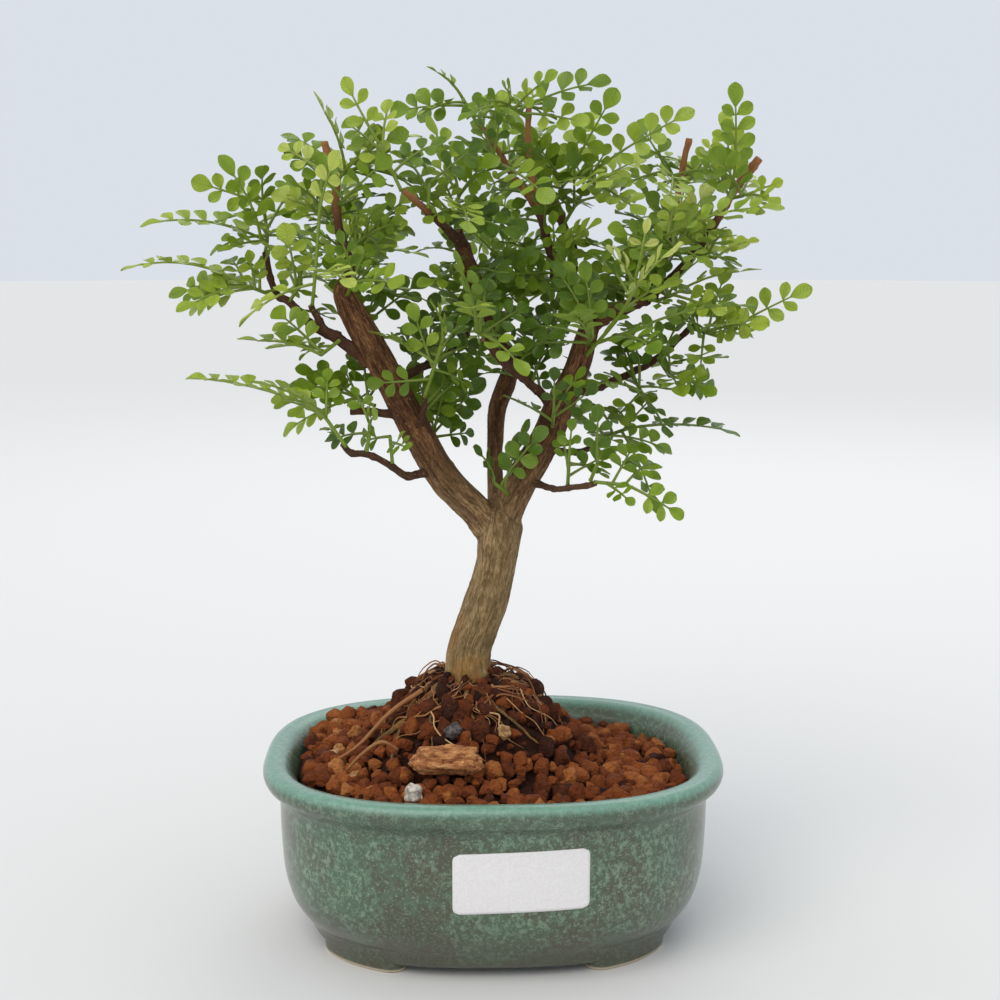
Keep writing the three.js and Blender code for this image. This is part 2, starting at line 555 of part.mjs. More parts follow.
const SHOOTS = [
  ['left_tip', [[-62, 4, 195], [-62, 5, 197], [-63, 6, 206]], [
    [1, [-82, 2, 212], 2, 0.75], [0.3, [-96, -2, 200], 3, 0.2], [0.5, [-74, -12, 192], 2, 0.4],
  ]],
  ['left_outer', [[-55, -4, 180], [-52, -9, 187], [-62, -11, 196]], [
    [1, [-85, -14, 209], 3, 0.7], [0.3, [-50, -24, 198], 1, 0.8],
  ]],
  ['left_low_edge', [[-59, -1, 181], [-67, -6, 184]], [
    [1, [-100, -10, 188], 3, 0.25], [0.3, [-78, 14, 180], 2, 0.3],
  ]],
  ['left_young_rod', [[-48, -18, 180], [-47, -20, 188], [-45, -16, 214]], [
    [1, [-57, -10, 221], 1, 0.6], [0.75, [-40, -24, 219], 1, 0.5], [0.3, [-67, -24, 174], 2, 0.25],
    [0.5, [-36, -44, 185], 2, 0.4],
  ]],
  ['left_side_pair', [[-42, -14, 169], [-46, -18, 166]], [
    [1, [-68, -20, 169], 2, 0.3], [0.75, [-65, 2, 172], 2, 0.3],
  ]],
  ['low_left_end', [[-40, -25, 143], [-46, -25, 152]], [
    [1, [-82, -18, 160], 3, 0.5], [0.75, [-62, -38, 161], 2, 0.35],
  ]],
  ['low_left_mid', [[-34, -20, 141], [-33, -20, 147]], [
    [1, [-38, -14, 157], 1, 0.85], [0.75, [-30, -36, 153], 1, 0.7],
  ]],
  ['low_left_in', [[-28, -17, 137], [-28, -17, 144]], [
    [1, [-36, -6, 141], 1, 0.7], [0.75, [-22, -30, 142], 1, 0.8],
  ]],
  ['stub_left', [[-33, -6, 150], [-38, -3, 153]], [
    [1, [-59, 4, 142], 2, 0.35], [0.75, [-54, -14, 157], 2, 0.6], [0.5, [-38, -2, 164], 1, 0.9],
  ]],
  ['limb_top', [[-39, -13, 182], [-37, -20, 186]], [
    [1, [-40, -26, 198], 1, 0.8], [0.75, [-25, -36, 191], 2, 0.4],
  ]],
  ['rise_low', [[-39, -8, 194], [-33, -8, 198]], [
    [1, [-23, 2, 205], 2, 0.6], [0.75, [-35, -30, 207], 2, 0.5],
  ]],
  ['rise_left', [[-43, -6, 201], [-45, 0, 203]], [
    [1, [-65, 22, 200], 2, 0.5], [0.75, [-60, -2, 208], 2, 0.85],
  ]],
  ['rise_high', [[-42, -5, 212], [-39, -2, 216]], [
    [1, [-19, 8, 224], 2, 0.3], [0.5, [-55, 14, 216], 2, 0.4],
  ]],
  ['rise_front', [[-40, -10, 206], [-38, -16, 208]], [
    [1, [-26, -30, 217], 1, 0.9],
  ]],
  ['arm_tip', [[-25, -18, 210], [-30, -18, 221]], [
    [1, [-39, -16, 238], 2, 0.95], [0.3, [-39, -38, 212], 2, 0.6],
  ]],
  ['arm_mid', [[-18, -13, 205], [-17, -14, 211]], [
    [1, [-3, -8, 222], 2, 0.8], [0.5, [-26, 6, 220], 2, 0.6],
  ]],
  ['arm_low', [[-12, -6, 202], [-9, -3, 208]], [
    [1, [2, -6, 218], 2, 0.6], [0.5, [-7, -40, 198], 2, 0.4],
  ]],
  ['tan_tip', [[-5, 13, 229], [-8, 13, 235]], [
    [1, [-18, 10, 243], 1, 0.2],
  ]],
  ['tan_mid', [[3, 6, 215], [0, 0, 218]], [
    [1, [2, 0, 230], 1, 0.9], [0.75, [-11, 20, 216], 2, 0.5], [0.5, [7, -22, 205], 1, 0.5],
  ]],
  ['top_stub', [[9, -1, 229], [4, -4, 232]], [
    [1, [-5, -12, 232], 1, 0.6], [0.75, [16, 18, 227], 1, 0.5],
  ]],
  ['top_right_a', [[15, 17, 215], [16, 15, 221]], [
    [1, [23, 10, 245], 3, 0.95], [0.5, [3, 34, 221], 2, 0.5],
  ]],
  ['top_right_b', [[19, 17, 207], [21, 14, 213]], [
    [1, [35, 8, 237], 3, 0.9], [0.5, [31, -16, 209], 2, 0.6],
  ]],
  ['top_right_c', [[21, 15, 201], [30, 14, 216]], [
    [1, [53, 6, 235], 2, 0.7], [0.75, [51, 0, 218], 2, 0.5], [0.5, [45, 38, 219], 2, 0.6],
  ]],
  ['right_stub', [[54, 18, 212], [49, 15, 215]], [
    [1, [36, 10, 210], 1, 0.7], [0.75, [45, -24, 205], 2, 0.6],
  ]],
  ['right_stub_out', [[55, 20, 211], [59, 22, 215]], [
    [1, [66, 26, 225], 1, 0.6], [0.75, [74, 44, 218], 2, 0.5],
  ]],
  ['right_top', [[65, 6, 205], [66, 0, 211]], [
    [1, [65, -4, 238], 3, 0.95], [0.5, [58, 8, 218], 1, 0.5],
  ]],
  ['right_arch', [[54, 5, 190], [46, -10, 197]], [
    [1, [74, -16, 214], 3, 0.4], [0.5, [33, -24, 198], 2, 0.5],
  ]],
  ['right_cut', [[67, 8, 208], [69, 2, 208]], [
    [1, [79, -4, 212], 1, 0.9], [0.75, [77, 24, 203], 2, 0.4],
  ]],
  ['right_under', [[58, 8, 192], [62, 3, 191]], [
    [1, [74, 2, 196], 1, 0.4], [0.75, [70, 24, 187], 2, 0.5],
  ]],
  ['right_reach', [[46, 5, 180], [50, 0, 181]], [
    [1, [74, -4, 187], 3, 0.25], [0.5, [62, 28, 178], 2, 0.5],
  ]],
  ['right_low_reach', [[28, -12, 168], [39, -18, 173]], [
    [1, [69, -24, 179], 2, 0.2], [0.5, [42, -40, 167], 2, 0.6],
  ]],
  ['bright_shoot', [[26, -12, 166], [34, -27, 179], [37, -31, 190]], [
    [1, [39, -33, 202], 1, 0.55], [0.75, [26, -42, 194], 1, 0.45], [0.5, [45, -44, 195], 1, 0.45],
  ]],
  ['right_end', [[57, 13, 171], [64, 10, 169]], [
    [1, [89, 2, 183], 3, 0.85], [0.5, [58, 2, 157], 2, 0.9],
  ]],
  ['right_droop', [[48, 10, 162], [50, 5, 158]], [
    [1, [65, -2, 150], 2, 0.4], [0.75, [51, -16, 155], 2, 0.8],
  ]],
  ['right_inner', [[41, 4, 157], [42, -3, 153]], [
    [1, [54, -14, 151], 2, 0.5], [0.75, [35, 14, 147], 2, 0.8],
  ]],
  ['low_right_b', [[31, 14, 139], [39, 8, 143]], [
    [1, [70, 2, 142], 3, 0.35], [0.75, [58, -10, 139], 2, 0.5], [0.3, [53, 22, 134], 2, 0.5],
  ]],
  ['low_right_end', [[28, -26, 133], [35, -27, 132]], [
    [1, [50, -27, 123], 2, 0.6], [0.3, [36, -36, 128], 1, 0.8], [0.5, [38, -14, 141], 2, 0.9],
  ]],
  ['low_right_up', [[26, -24, 133], [27, -28, 138]], [
    [1, [27, -30, 154], 2, 0.9],
  ]],
  ['low_right_in', [[20, -17, 131], [20, -20, 137]], [
    [1, [21, -20, 149], 1, 0.8],
  ]],
  ['front_limb', [[16, -12, 146], [16, -17, 150]], [
    [1, [16, -20, 163], 1, 0.9],
  ]],
  ['front_dark', [[26, -16, 168], [26, -22, 171]], [
    [1, [23, -24, 191], 2, 0.9], [0.75, [16, -48, 178], 2, 0.3],
  ]],
  ['limb_twig_top', [[-18, -18, 156], [-14, -24, 169]], [
    [1, [-17, -36, 181], 2, 0.5], [0.5, [-6, -12, 156], 1, 0.4], [0.3, [-28, -6, 160], 2, 0.6],
  ]],
  ['cross_left', [[-6, 24, 170], [-4, 29, 174]], [
    [1, [6, 36, 187], 2, 0.5], [0.75, [-16, 44, 178], 2, 0.5], [0.5, [-2, 54, 162], 2, 0.4],
  ]],
  ['front_fan', [[-3, -24, 172], [-5, -32, 173]], [
    [1, [-7, -62, 179], 2, 0.15], [0.75, [-26, -40, 174], 2, 0.2], [0.5, [8, -40, 162], 2, 0.35],
  ]],
  ['fork_low', [[3, -9, 127], [0, -16, 131]], [
    [1, [-6, -24, 142], 1, 0.5],
  ]],
  ['limb_back_low', [[-18, -2, 143], [-16, 6, 141]], [
    [1, [-5, 16, 141], 1, 0.8],
  ]],
  ['back_left', [[-42, 32, 188], [-43, 37, 192]], [
    [1, [-64, 52, 196], 2, -0.4], [0.75, [-36, 64, 203], 2, -0.6], [0.5, [-18, 46, 190], 2, 0],
  ]],
  ['back_middle', [[5, 48, 186], [4, 53, 191]], [
    [1, [-16, 64, 198], 2, -0.5], [0.75, [22, 66, 196], 2, -0.5], [0.5, [2, 60, 214], 2, -0.9],
  ]],
  ['back_right', [[55, 40, 192], [58, 44, 196]], [
    [1, [78, 52, 202], 2, -0.4], [0.75, [46, 66, 198], 2, -0.6], [0.5, [62, 46, 219], 2, -0.8],
  ]],
  ['back_top', [[7, 38, 214], [5, 41, 219]], [
    [1, [-16, 50, 222], 2, -0.3], [0.75, [20, 58, 224], 2, -0.6], [0.5, [4, 44, 240], 2, -0.9],
  ]],
];

const woodSegments = woodRoutes().flatMap(({ stations }) => stations.slice(1).map((end, i) => ({
  a: vec(stations[i]), b: vec(end), ra: stations[i][3], rb: end[3], cut: i === stations.length - 2,
})));

// Nearest point on a tapering segment: its place, its radius and the distance to its surface
function nearest(point, segment) {
  const run = segment.b.clone().sub(segment.a);
  const part = THREE.MathUtils.clamp(point.clone().sub(segment.a).dot(run) / run.lengthSq(), 0, 1);
  const at = segment.a.clone().addScaledVector(run, part);
  const radius = segment.ra + (segment.rb - segment.ra) * part;
  return { at, radius, distance: point.distanceTo(at) - radius, onCut: segment.cut && part === 1, run };
}

// The stem's first point is set on the bark, square to it, with the resting gap
function seatedStem(points) {
  const stem = points.map(vec);
  const seat = woodSegments.map((segment) => nearest(stem[0], segment))
    .reduce((best, next) => (next.distance < best.distance ? next : best));
  const outward = stem[0].clone().sub(seat.at).normalize();
  const along = stem[1].clone().sub(seat.at).normalize();
  const slant = Math.sqrt(Math.max(0, 1 - along.dot(outward) ** 2));
  const reach = seat.onCut ? seat.radius * Math.sin(outward.angleTo(seat.run)) : seat.radius;
  stem[0] = seat.at.clone().addScaledVector(outward, reach + GAP + STEM_RADIUS * slant);
  return stem;
}

function alongStem(stem, part) {
  const place = part * (stem.length - 1);
  const i = Math.min(Math.floor(place), stem.length - 2);
  return stem[i].clone().lerp(stem[i + 1], place - i);
}

// A frond's frame: a rib that arches over its chord, with a side and an upper direction
function frondFrame(base, tip, facing, roll, arch) {
  const chord = tip.clone().sub(base);
  const length = chord.length();
  const along = chord.divideScalar(length);
  const wanted = new THREE.Vector3(0, -facing, 1 - Math.abs(facing));
  const upper = wanted.addScaledVector(along, -wanted.dot(along)).normalize();
  upper.applyAxisAngle(along, roll);
  const side = upper.clone().cross(along);
  return { base, along, upper, side, length, arch: arch * length };
}

// A point of the frond: distance up the rib, distance out from it, height over the blade
function frondPoint(frame, up, out, over) {
  const part = up / frame.length;
  const slope = (4 * frame.arch * (1 - 2 * part)) / frame.length;
  const normal = frame.upper.clone().addScaledVector(frame.along, -slope).normalize();
  return frame.base.clone()
    .addScaledVector(frame.along, up)
    .addScaledVector(frame.upper, 4 * frame.arch * part * (1 - part))
    .addScaledVector(frame.side, out)
    .addScaledVector(normal, over + LEAF_FOLD * Math.abs(out));
}

// Where the leaflets stand on the rib, and how long they are
function leafletPlan(length, pairs) {
  const size = Math.min(LEAFLET_LENGTH, 0.3 * length + 1.5);
  const terminal = Math.min(1.2 * size, 0.45 * length);
  const petiole = Math.min(4, 0.16 * length);
  const room = length - terminal - petiole;
  const stations = Array.from({ length: pairs }, (_, i) => petiole + (room * (i + 0.75)) / (pairs + 0.25));
  return { size, terminal, stations };
}

function frondSamples(frame, pairs) {
  const { size, stations } = leafletPlan(frame.length, pairs);
  const samples = [0.2, 0.4, 0.6, 0.8, 0.9, 1].map((part) => frondPoint(frame, part * frame.length, 0, 0));
  for (const station of stations) {
    for (const side of [-1, 1]) {
      for (const part of [0.4, 0.75, 1.05]) {
        const up = station + part * size * Math.cos(LEAFLET_SWEEP);
        samples.push(frondPoint(frame, up, side * part * size * Math.sin(LEAFLET_SWEEP), 0));
      }
    }
  }
  return samples;
}

// One arched blade, cut to the rib between its leaflets
function frondSolid(frame, pairs) {
  const { size, terminal, stations } = leafletPlan(frame.length, pairs);
  const pitch = pairs > 1 ? stations[1] - stations[0] : size;
  const broad = (0.5 * LEAFLET_WIDTH * size) / LEAFLET_LENGTH;
  const half = Math.min(broad, (pitch - LEAFLET_PARTING) / LEAFLET_REACH);
  const notch = 0.5 * Math.min(pitch, 0.4 * size);
  const right = [[0, RIB_FOOT], [stations[0] - notch, RIB_HALF_WIDTH]];
  const c = Math.cos(LEAFLET_SWEEP);
  const s = Math.sin(LEAFLET_SWEEP);
  stations.forEach((station, i) => {
    for (const [run, wide] of LEAFLET_OUTLINE) {
      const up = station + run * size * c + wide * half * s;
      right.push([up, run * size * s - wide * half * c]);
    }
    const next = i < pairs - 1 ? (station + stations[i + 1]) / 2 : station + notch;
    right.push([next, RIB_HALF_WIDTH]);
  });
  right.push([frame.length - 0.45 * terminal, broad]);
  const contour = [
    ...right.map(([up, out]) => new THREE.Vector2(up, -out)),
    new THREE.Vector2(frame.length, 0),
    ...right.map(([up, out]) => new THREE.Vector2(up, out)).reverse(),
  ];
  const count = contour.length;
  const points = [-0.5, 0.5].flatMap((level) => contour.map(({ x, y }) => (
    frondPoint(frame, x, y, level * LEAF_THICKNESS))));
  const faces = [];
  for (const [a, b, d] of THREE.ShapeUtils.triangulateShape(contour, [])) {
    faces.push([a, d, b], [a + count, b + count, d + count]);
  }
  for (let i = 0; i < count; i += 1) {
    const next = (i + 1) % count;
    faces.push([i, next, next + count], [i, next + count, i + count]);
  }
  return bodyOf(points, faces);
}

const stems = SHOOTS.map(([, points]) => seatedStem(points));
const stemSegments = stems.flatMap((stem, owner) => stem.slice(1).map((end, i) => ({
  a: stem[i], b: end, ra: STEM_RADIUS, rb: STEM_RADIUS, owner,
})));
const leafSamples = [];

function standsClear(samples, owner) {
  const seat = stems[owner][0];
  return samples.every((sample) => {
    const room = sample.distanceTo(seat) < NEAR_SEAT ? CLEAR_NEAR_SEAT : CLEAR_OF_WOOD;
    if (woodSegments.some((segment) => nearest(sample, segment).distance < room)) return false;
    if (stemSegments.some((segment) => segment.owner !== owner
      && nearest(sample, segment).distance < CLEAR_OF_STEMS)) return false;
    return !leafSamples.some((other) => sample.distanceTo(other.at)
      < (other.owner === owner ? CLEAR_OF_SISTERS : CLEAR_OF_LEAVES));
  });
}

// A frond that would cross something is bent aside, a little further at each try
function placedFrond([part, tipPoint, pairs, facing], owner) {
  const base = alongStem(stems[owner], part);
  const wanted = vec(tipPoint).sub(base);
  const length = wanted.length();
  for (let attempt = 0; attempt < TRIES; attempt += 1) {
    const bend = TRY_SPREAD * attempt;
    const aside = new THREE.Vector3(leafSpread(), leafSpread(), leafSpread());
    const roll = 0.35 * leafSpread() + bend * leafSpread();
    const arch = 0.09 + 0.04 * leafSpread();
    const bent = wanted.clone().divideScalar(length).addScaledVector(aside, bend);
    const tip = bent.setLength(length).add(base);
    const frame = frondFrame(base, tip, facing, roll, arch);
    const samples = frondSamples(frame, pairs);
    if (standsClear(samples, owner)) {
      leafSamples.push(...samples.map((at) => ({ at, owner })));
      return frondSolid(frame, pairs);
    }
  }
  return null;
}

const blades = SHOOTS.map(([, , fronds], owner) => (
  fronds.map((frond) => placedFrond(frond, owner)).filter((blade) => blade)));

function inCrown({ x, y, z }) {
  const i = CROWN_OUTLINE.findIndex(([across]) => x < across);
  if (i < 1) return false;
  const [left, leftLow, leftHigh] = CROWN_OUTLINE[i - 1];
  const [right, rightLow, rightHigh] = CROWN_OUTLINE[i];
  const part = (x - left) / (right - left);
  const low = leftLow + part * (rightLow - leftLow);
  const high = leftHigh + part * (rightHigh - leftHigh);
  return ((2 * z - low - high) / (high - low)) ** 2 + (y / CROWN_DEPTH) ** 2 < 1;
}

// A frond on some shoot in some direction, or nothing where its tip would leave the crown
function drawnFrond() {
  const owner = Math.floor((0.5 * fillSpread() + 0.5) * stems.length);
  const part = 0.6 + 0.4 * fillSpread();
  const way = new THREE.Vector3(fillSpread(), fillSpread(), fillSpread()).normalize();
  const length = FILL_LENGTH + FILL_LENGTH_SPREAD * fillSpread();
  const facing = 0.4 + 0.4 * fillSpread();
  const roll = 0.35 * fillSpread();
  const arch = 0.09 + 0.04 * fillSpread();
  const base = alongStem(stems[owner], part);
  const tip = base.clone().addScaledVector(way, length);
  if (!inCrown(tip) || way.z < FILL_LOWEST) return null;
  const frame = frondFrame(base, tip, facing, roll, arch);
  return { owner, frame, samples: frondSamples(frame, FILL_PAIRS) };
}

function emptiness(samples) {
  const gaps = samples.map((sample) => (
    Math.min(...leafSamples.map(({ at }) => sample.distanceTo(at)))));
  return gaps.reduce((sum, gap) => sum + gap, 0) / gaps.length;
}

// Each further frond takes the emptiest of many drawn places
for (let count = 0; count < FILL_COUNT; count += 1) {
  let best = null;
  for (let choice = 0; choice < FILL_CHOICES; choice += 1) {
    const drawn = drawnFrond();
    const free = drawn ? emptiness(drawn.samples) : 0;
    if (drawn && (!best || free > best.free) && standsClear(drawn.samples, drawn.owner)) {
      best = { ...drawn, free };
    }
  }
  if (best) {
    leafSamples.push(...best.samples.map((at) => ({ at, owner: best.owner })));
    blades[best.owner].push(frondSolid(best.frame, FILL_PAIRS));
  }
}

function shootSolid(owner) {
  const stations = stems[owner].map(({ x, y, z }, i) => [x, y, z, STEM_RADIUS - STEM_TAPER * i]);
  return largestBody(joined([bar(stations, STEM_SIDES), ...blades[owner]]));
}

// Materials, one for each finish

function finish(color, roughness, metalness = 0) {
  return new THREE.MeshStandardMaterial({ color, roughness, metalness });
}

const glaze = finish(0x4f8473, 0.28);
const screenPlastic = finish(0x20242a, 0.5);
const akadama = finish(0x7a452b, 0.95);
const bark = finish(0x77604a, 0.9);
const leafGreen = finish(0x6d9a3c, 0.45);
const youngLeaf = finish(0xa9c75a, 0.5);
const YOUNG_SHOOTS = ['bright_shoot', 'left_young_rod'];
const flake = finish(0xb98a5d, 0.9);
const paper = finish(0xf4f2f3, 0.7);
const stones = {
  bark_chip: flake,
  pumice_pebble: finish(0xd8d0c6, 0.9),
  grey_pebble: finish(0x5f5854, 0.9),
  tan_pebble: finish(0xa8834f, 0.9),
};

const bonsai = new THREE.Group();
bonsai.add(meshOf(potSolid(), 'pot', glaze));
bonsai.add(meshOf(screenSolid(-DRAIN_OFFSET), 'drain_screen_left', screenPlastic));
bonsai.add(meshOf(screenSolid(DRAIN_OFFSET), 'drain_screen_right', screenPlastic));
bonsai.add(meshOf(soilSolid(), 'soil', akadama));
bonsai.add(meshOf(treeSolid(), 'tree', bark));
bonsai.add(meshOf(labelSolid(), 'label', paper));
for (const [name, piece] of Object.entries(LOOSE_PIECES)) {
  bonsai.add(meshOf(stoneSolid(piece), name, stones[name]));
}
SHOOTS.forEach(([name], owner) => {
  const material = YOUNG_SHOOTS.includes(name) ? youngLeaf : leafGreen;
  bonsai.add(meshOf(shootSolid(owner), `shoot_${name}`, material));
});

const bounds = new THREE.Box3().setFromObject(bonsai);
const middle = bounds.getCenter(new THREE.Vector3());
bonsai.position.set(-middle.x, -middle.y, -bounds.min.z);

export default bonsai;
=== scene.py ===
# %% [markdown]
# # Japanese pepper bonsai in a glazed pot
# A small trained tree: a short trunk, three limbs, thin twigs and light green fronds, on a
# mound of clay grains in a squarish oval pot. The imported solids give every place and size.
# This script lays finer pieces over them: a glazed skin, loose grains, furrowed bark, fine
# roots and leaflets with veins.

# %% Frame
import math
from itertools import product

import bmesh
import bpy
import numpy as np
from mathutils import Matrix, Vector


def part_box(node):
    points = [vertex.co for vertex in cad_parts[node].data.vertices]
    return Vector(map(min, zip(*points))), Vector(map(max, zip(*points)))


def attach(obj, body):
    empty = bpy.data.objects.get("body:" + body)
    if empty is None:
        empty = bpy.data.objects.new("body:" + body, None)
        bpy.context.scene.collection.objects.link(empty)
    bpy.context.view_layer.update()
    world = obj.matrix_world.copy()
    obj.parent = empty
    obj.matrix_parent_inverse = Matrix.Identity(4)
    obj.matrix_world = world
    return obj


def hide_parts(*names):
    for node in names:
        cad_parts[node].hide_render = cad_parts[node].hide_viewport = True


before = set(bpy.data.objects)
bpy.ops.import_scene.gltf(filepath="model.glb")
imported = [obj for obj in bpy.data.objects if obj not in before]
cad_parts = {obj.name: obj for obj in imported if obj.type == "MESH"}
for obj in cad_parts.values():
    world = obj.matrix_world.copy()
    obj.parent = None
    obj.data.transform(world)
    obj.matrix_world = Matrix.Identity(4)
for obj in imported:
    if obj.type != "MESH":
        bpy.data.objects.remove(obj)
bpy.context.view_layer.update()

print("solids", len(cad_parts))

# %% [markdown]
# All listed sizes are millimetres, measured from the middle of the pot with the feet on
# zero, as a maker would note them. One function moves them into the frame, in metres. The
# pot is symmetric, so the middle of its box is the point that everything is measured from.

# %% Places
MM = 0.001
pot_low, pot_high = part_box("pot")
POT_MIDDLE = np.array([(pot_low.x + pot_high.x) / 2, (pot_low.y + pot_high.y) / 2, 0.0])


def in_frame(points):
    return np.asarray(points, float) * MM + POT_MIDDLE


print("middle of the pot", POT_MIDDLE.round(4))

# %% [markdown]
# Bark, grains and leaves all need small irregularities. This is value noise: random heights
# on a grid, blended smoothly in between. The heights come from a hash of the grid place, so
# every run gives the same tree.

# %% Irregularity
def lattice(cell, seed):
    mixed = cell[:, 0] * 374761393 + cell[:, 1] * 668265263 + cell[:, 2] * 1442695041 + seed * 974711
    mixed = (mixed ^ (mixed >> 13)) * 1274126177
    return (((mixed ^ (mixed >> 16)) & 0xFFFF) / 32767.5) - 1.0


def rough(points, size, seed=0):
    """Noise from -1 to 1 whose lumps are about size across; size may differ along x, y, z."""
    scaled = np.asarray(points, float) / size
    cell = np.floor(scaled).astype(np.int64)
    part = scaled - cell
    part = part * part * (3 - 2 * part)
    total = np.zeros(len(scaled))
    for corner in product((0, 1), repeat=3):
        weight = np.prod(np.where(np.array(corner) == 1, part, 1 - part), axis=1)
        total += weight * lattice(cell + np.array(corner), seed)
    return total


def layered(points, size, seed=0, layers=3):
    size = np.asarray(size, float)
    return sum(rough(points, size / 2 ** k, seed + 17 * k) / 2 ** k for k in range(layers))


# %% [markdown]
# A piece such as the gravel is thousands of small forms. A Shell gathers their points, faces
# and per-point values, such as how dark a grain is, and makes one mesh of them at the end.

# %% Gathering forms
def unit(vector):
    vector = np.asarray(vector, float)
    return vector / np.maximum(np.linalg.norm(vector, axis=-1, keepdims=True), 1e-12)


def linked(name, data):
    obj = bpy.data.objects.new(name, data)
    bpy.context.scene.collection.objects.link(obj)
    return obj


def give(mesh, name, value):
    """Keeps a number or a vector with every point of the mesh, for its finish to read."""
    kind = "FLOAT_VECTOR" if value.ndim == 2 else "FLOAT"
    layer = mesh.attributes.new(name, kind, "POINT")
    layer.data.foreach_set("vector" if value.ndim == 2 else "value", value.ravel())


class Shell:
    def __init__(self):
        self.points = []
        self.faces = []
        self.values = {}
        self.count = 0

    def add(self, points, faces, **values):
        points = np.asarray(points, float).reshape(-1, 3)
        self.points.append(points)
        self.faces += [[i + self.count for i in face] for face in faces]
        for key, value in values.items():
            value = np.asarray(value, float)
            if value.ndim == 0:
                value = np.full(len(points), float(value))
            self.values.setdefault(key, []).append(value)
        self.count += len(points)

    def piece(self, name, finish, slot, replaces=(), flat=False):
        mesh = bpy.data.meshes.new(name)
        mesh.from_pydata(in_frame(np.concatenate(self.points)).tolist(), [], self.faces)
        for key, parts in self.values.items():
            give(mesh, key, np.concatenate(parts))
        mesh.polygons.foreach_set("use_smooth", [not flat] * len(mesh.polygons))
        mesh.materials.append(finish)
        mesh.update()
        obj = linked(name, mesh)
        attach(obj, "root")
        if replaces:
            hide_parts(*replaces)
        triangles = sum(len(face) - 2 for face in self.faces)
        print(f"{name}: {self.count} points, {triangles} triangles")
        return obj


def quilt(rows, columns, closed=False):
    """Four-sided faces over a grid of points; closed joins the last column to the first."""
    faces = []
    for r in range(rows - 1):
        for c in range(columns if closed else columns - 1):
            d = (c + 1) % columns
            faces.append((r * columns + c, r * columns + d, (r + 1) * columns + d, (r + 1) * columns + c))
    return faces


# %% [markdown]
# Limbs, roots and ribs are round bars along a curve. The curve runs smoothly through its
# given stations, and each ring keeps the turn of the one before it, so bark lines run
# along the limb and don't twist.

# %% Round bars
ANY_SIDE = np.array([0.31, 0.94, 0.12])


def smooth_route(stations, step):
    """A smooth curve through the stations, with a point about every step; all columns follow."""
    given = np.asarray(stations, float)
    padded = np.vstack([2 * given[0] - given[1], given, 2 * given[-1] - given[-2]])
    route = []
    for a, b, c, d in zip(padded, padded[1:], padded[2:], padded[3:]):
        count = max(2, int(round(np.linalg.norm(c[:3] - b[:3]) / step)))
        t = np.linspace(0, 1, count, endpoint=False)[:, None]
        bend = (2 * b + (c - a) * t + (2 * a - 5 * b + 4 * c - d) * t ** 2
                + (3 * b - a - 3 * c + d) * t ** 3) / 2
        route.append(bend)
    route.append(given[-1:])
    return np.vstack(route)


def run_along(places):
    """How far along the line each of its places lies."""
    return np.concatenate([[0], np.cumsum(np.linalg.norm(np.diff(places, axis=0), axis=1))])


def route_frames(places):
    along = unit(np.gradient(places, axis=0))
    across = np.empty_like(along)
    keep = ANY_SIDE
    for k, way in enumerate(along):
        keep = unit(keep - way * np.dot(keep, way))
        across[k] = keep
    return along, across, np.cross(along, across)


def closed_bar(route, sides, swell=None):
    """A bar's points and faces, and its rings' distances along it and angles round it."""
    places, radius = route[:, :3], route[:, 3:4] * np.ones(sides)
    _, across, other = route_frames(places)
    run = run_along(places)[:, None]
    angle = 2 * np.pi * np.arange(sides)[None, :] / sides
    if swell is not None:
        radius = radius * swell(run, angle)
    rings = (places[:, None] + radius[..., None] * (np.cos(angle)[..., None] * across[:, None]
                                                    + np.sin(angle)[..., None] * other[:, None]))
    faces = quilt(len(route), sides, closed=True)
    tail = len(route) * sides
    last_ring = tail - sides
    faces += [(tail, (i + 1) % sides, i) for i in range(sides)]
    faces += [(tail + 1, last_ring + i, last_ring + (i + 1) % sides) for i in range(sides)]
    return np.vstack([rings.reshape(-1, 3), places[:1], places[-1:]]), faces, run, angle


def add_bar(shell, route, sides, **values):
    points, faces, run, angle = closed_bar(route, sides)
    thick = route[:, 3:4]
    grain = np.stack(np.broadcast_arrays(run, angle * thick, thick), axis=-1)
    grain = np.vstack([grain.reshape(-1, 3), [[0, 0, 0]], [[run[-1, 0], 0, 0]]])
    shell.add(points, faces, grain=grain, **values)


# %% [markdown]
# Materials are node graphs. Written as plain expressions they are easier to read: a Flow is
# a number travelling through the graph, and arithmetic on it adds the Math nodes. Colours
# are given as seen on a screen, 0 to 255, and turned into the light values that nodes use.

# %% Shader expressions
def seen(red, green, blue):
    shares = np.array([red, green, blue]) / 255
    light = np.where(shares <= 0.04045, shares / 12.92, ((shares + 0.055) / 1.055) ** 2.4)
    return (*light.tolist(), 1.0)


class Flow:
    def __init__(self, finish, socket):
        self.finish = finish
        self.socket = socket

    def math(self, operation, *others):
        values = {i: value for i, value in enumerate((self, *others))}
        return self.finish.add("ShaderNodeMath", {"operation": operation}, values)

    def __add__(self, other):
        return self.math("ADD", other)

    def __sub__(self, other):
        return self.math("SUBTRACT", other)

    def __mul__(self, other):
        return self.math("MULTIPLY", other)

    __radd__ = __add__

    def size(self):
        return self.math("ABSOLUTE")

    def between(self, low, high):
        """0 below low, 1 above high, and a soft step in between."""
        settings = {"interpolation_type": "SMOOTHSTEP"}
        return self.finish.add("ShaderNodeMapRange", settings,
                               {"Value": self, "From Min": low, "From Max": high})


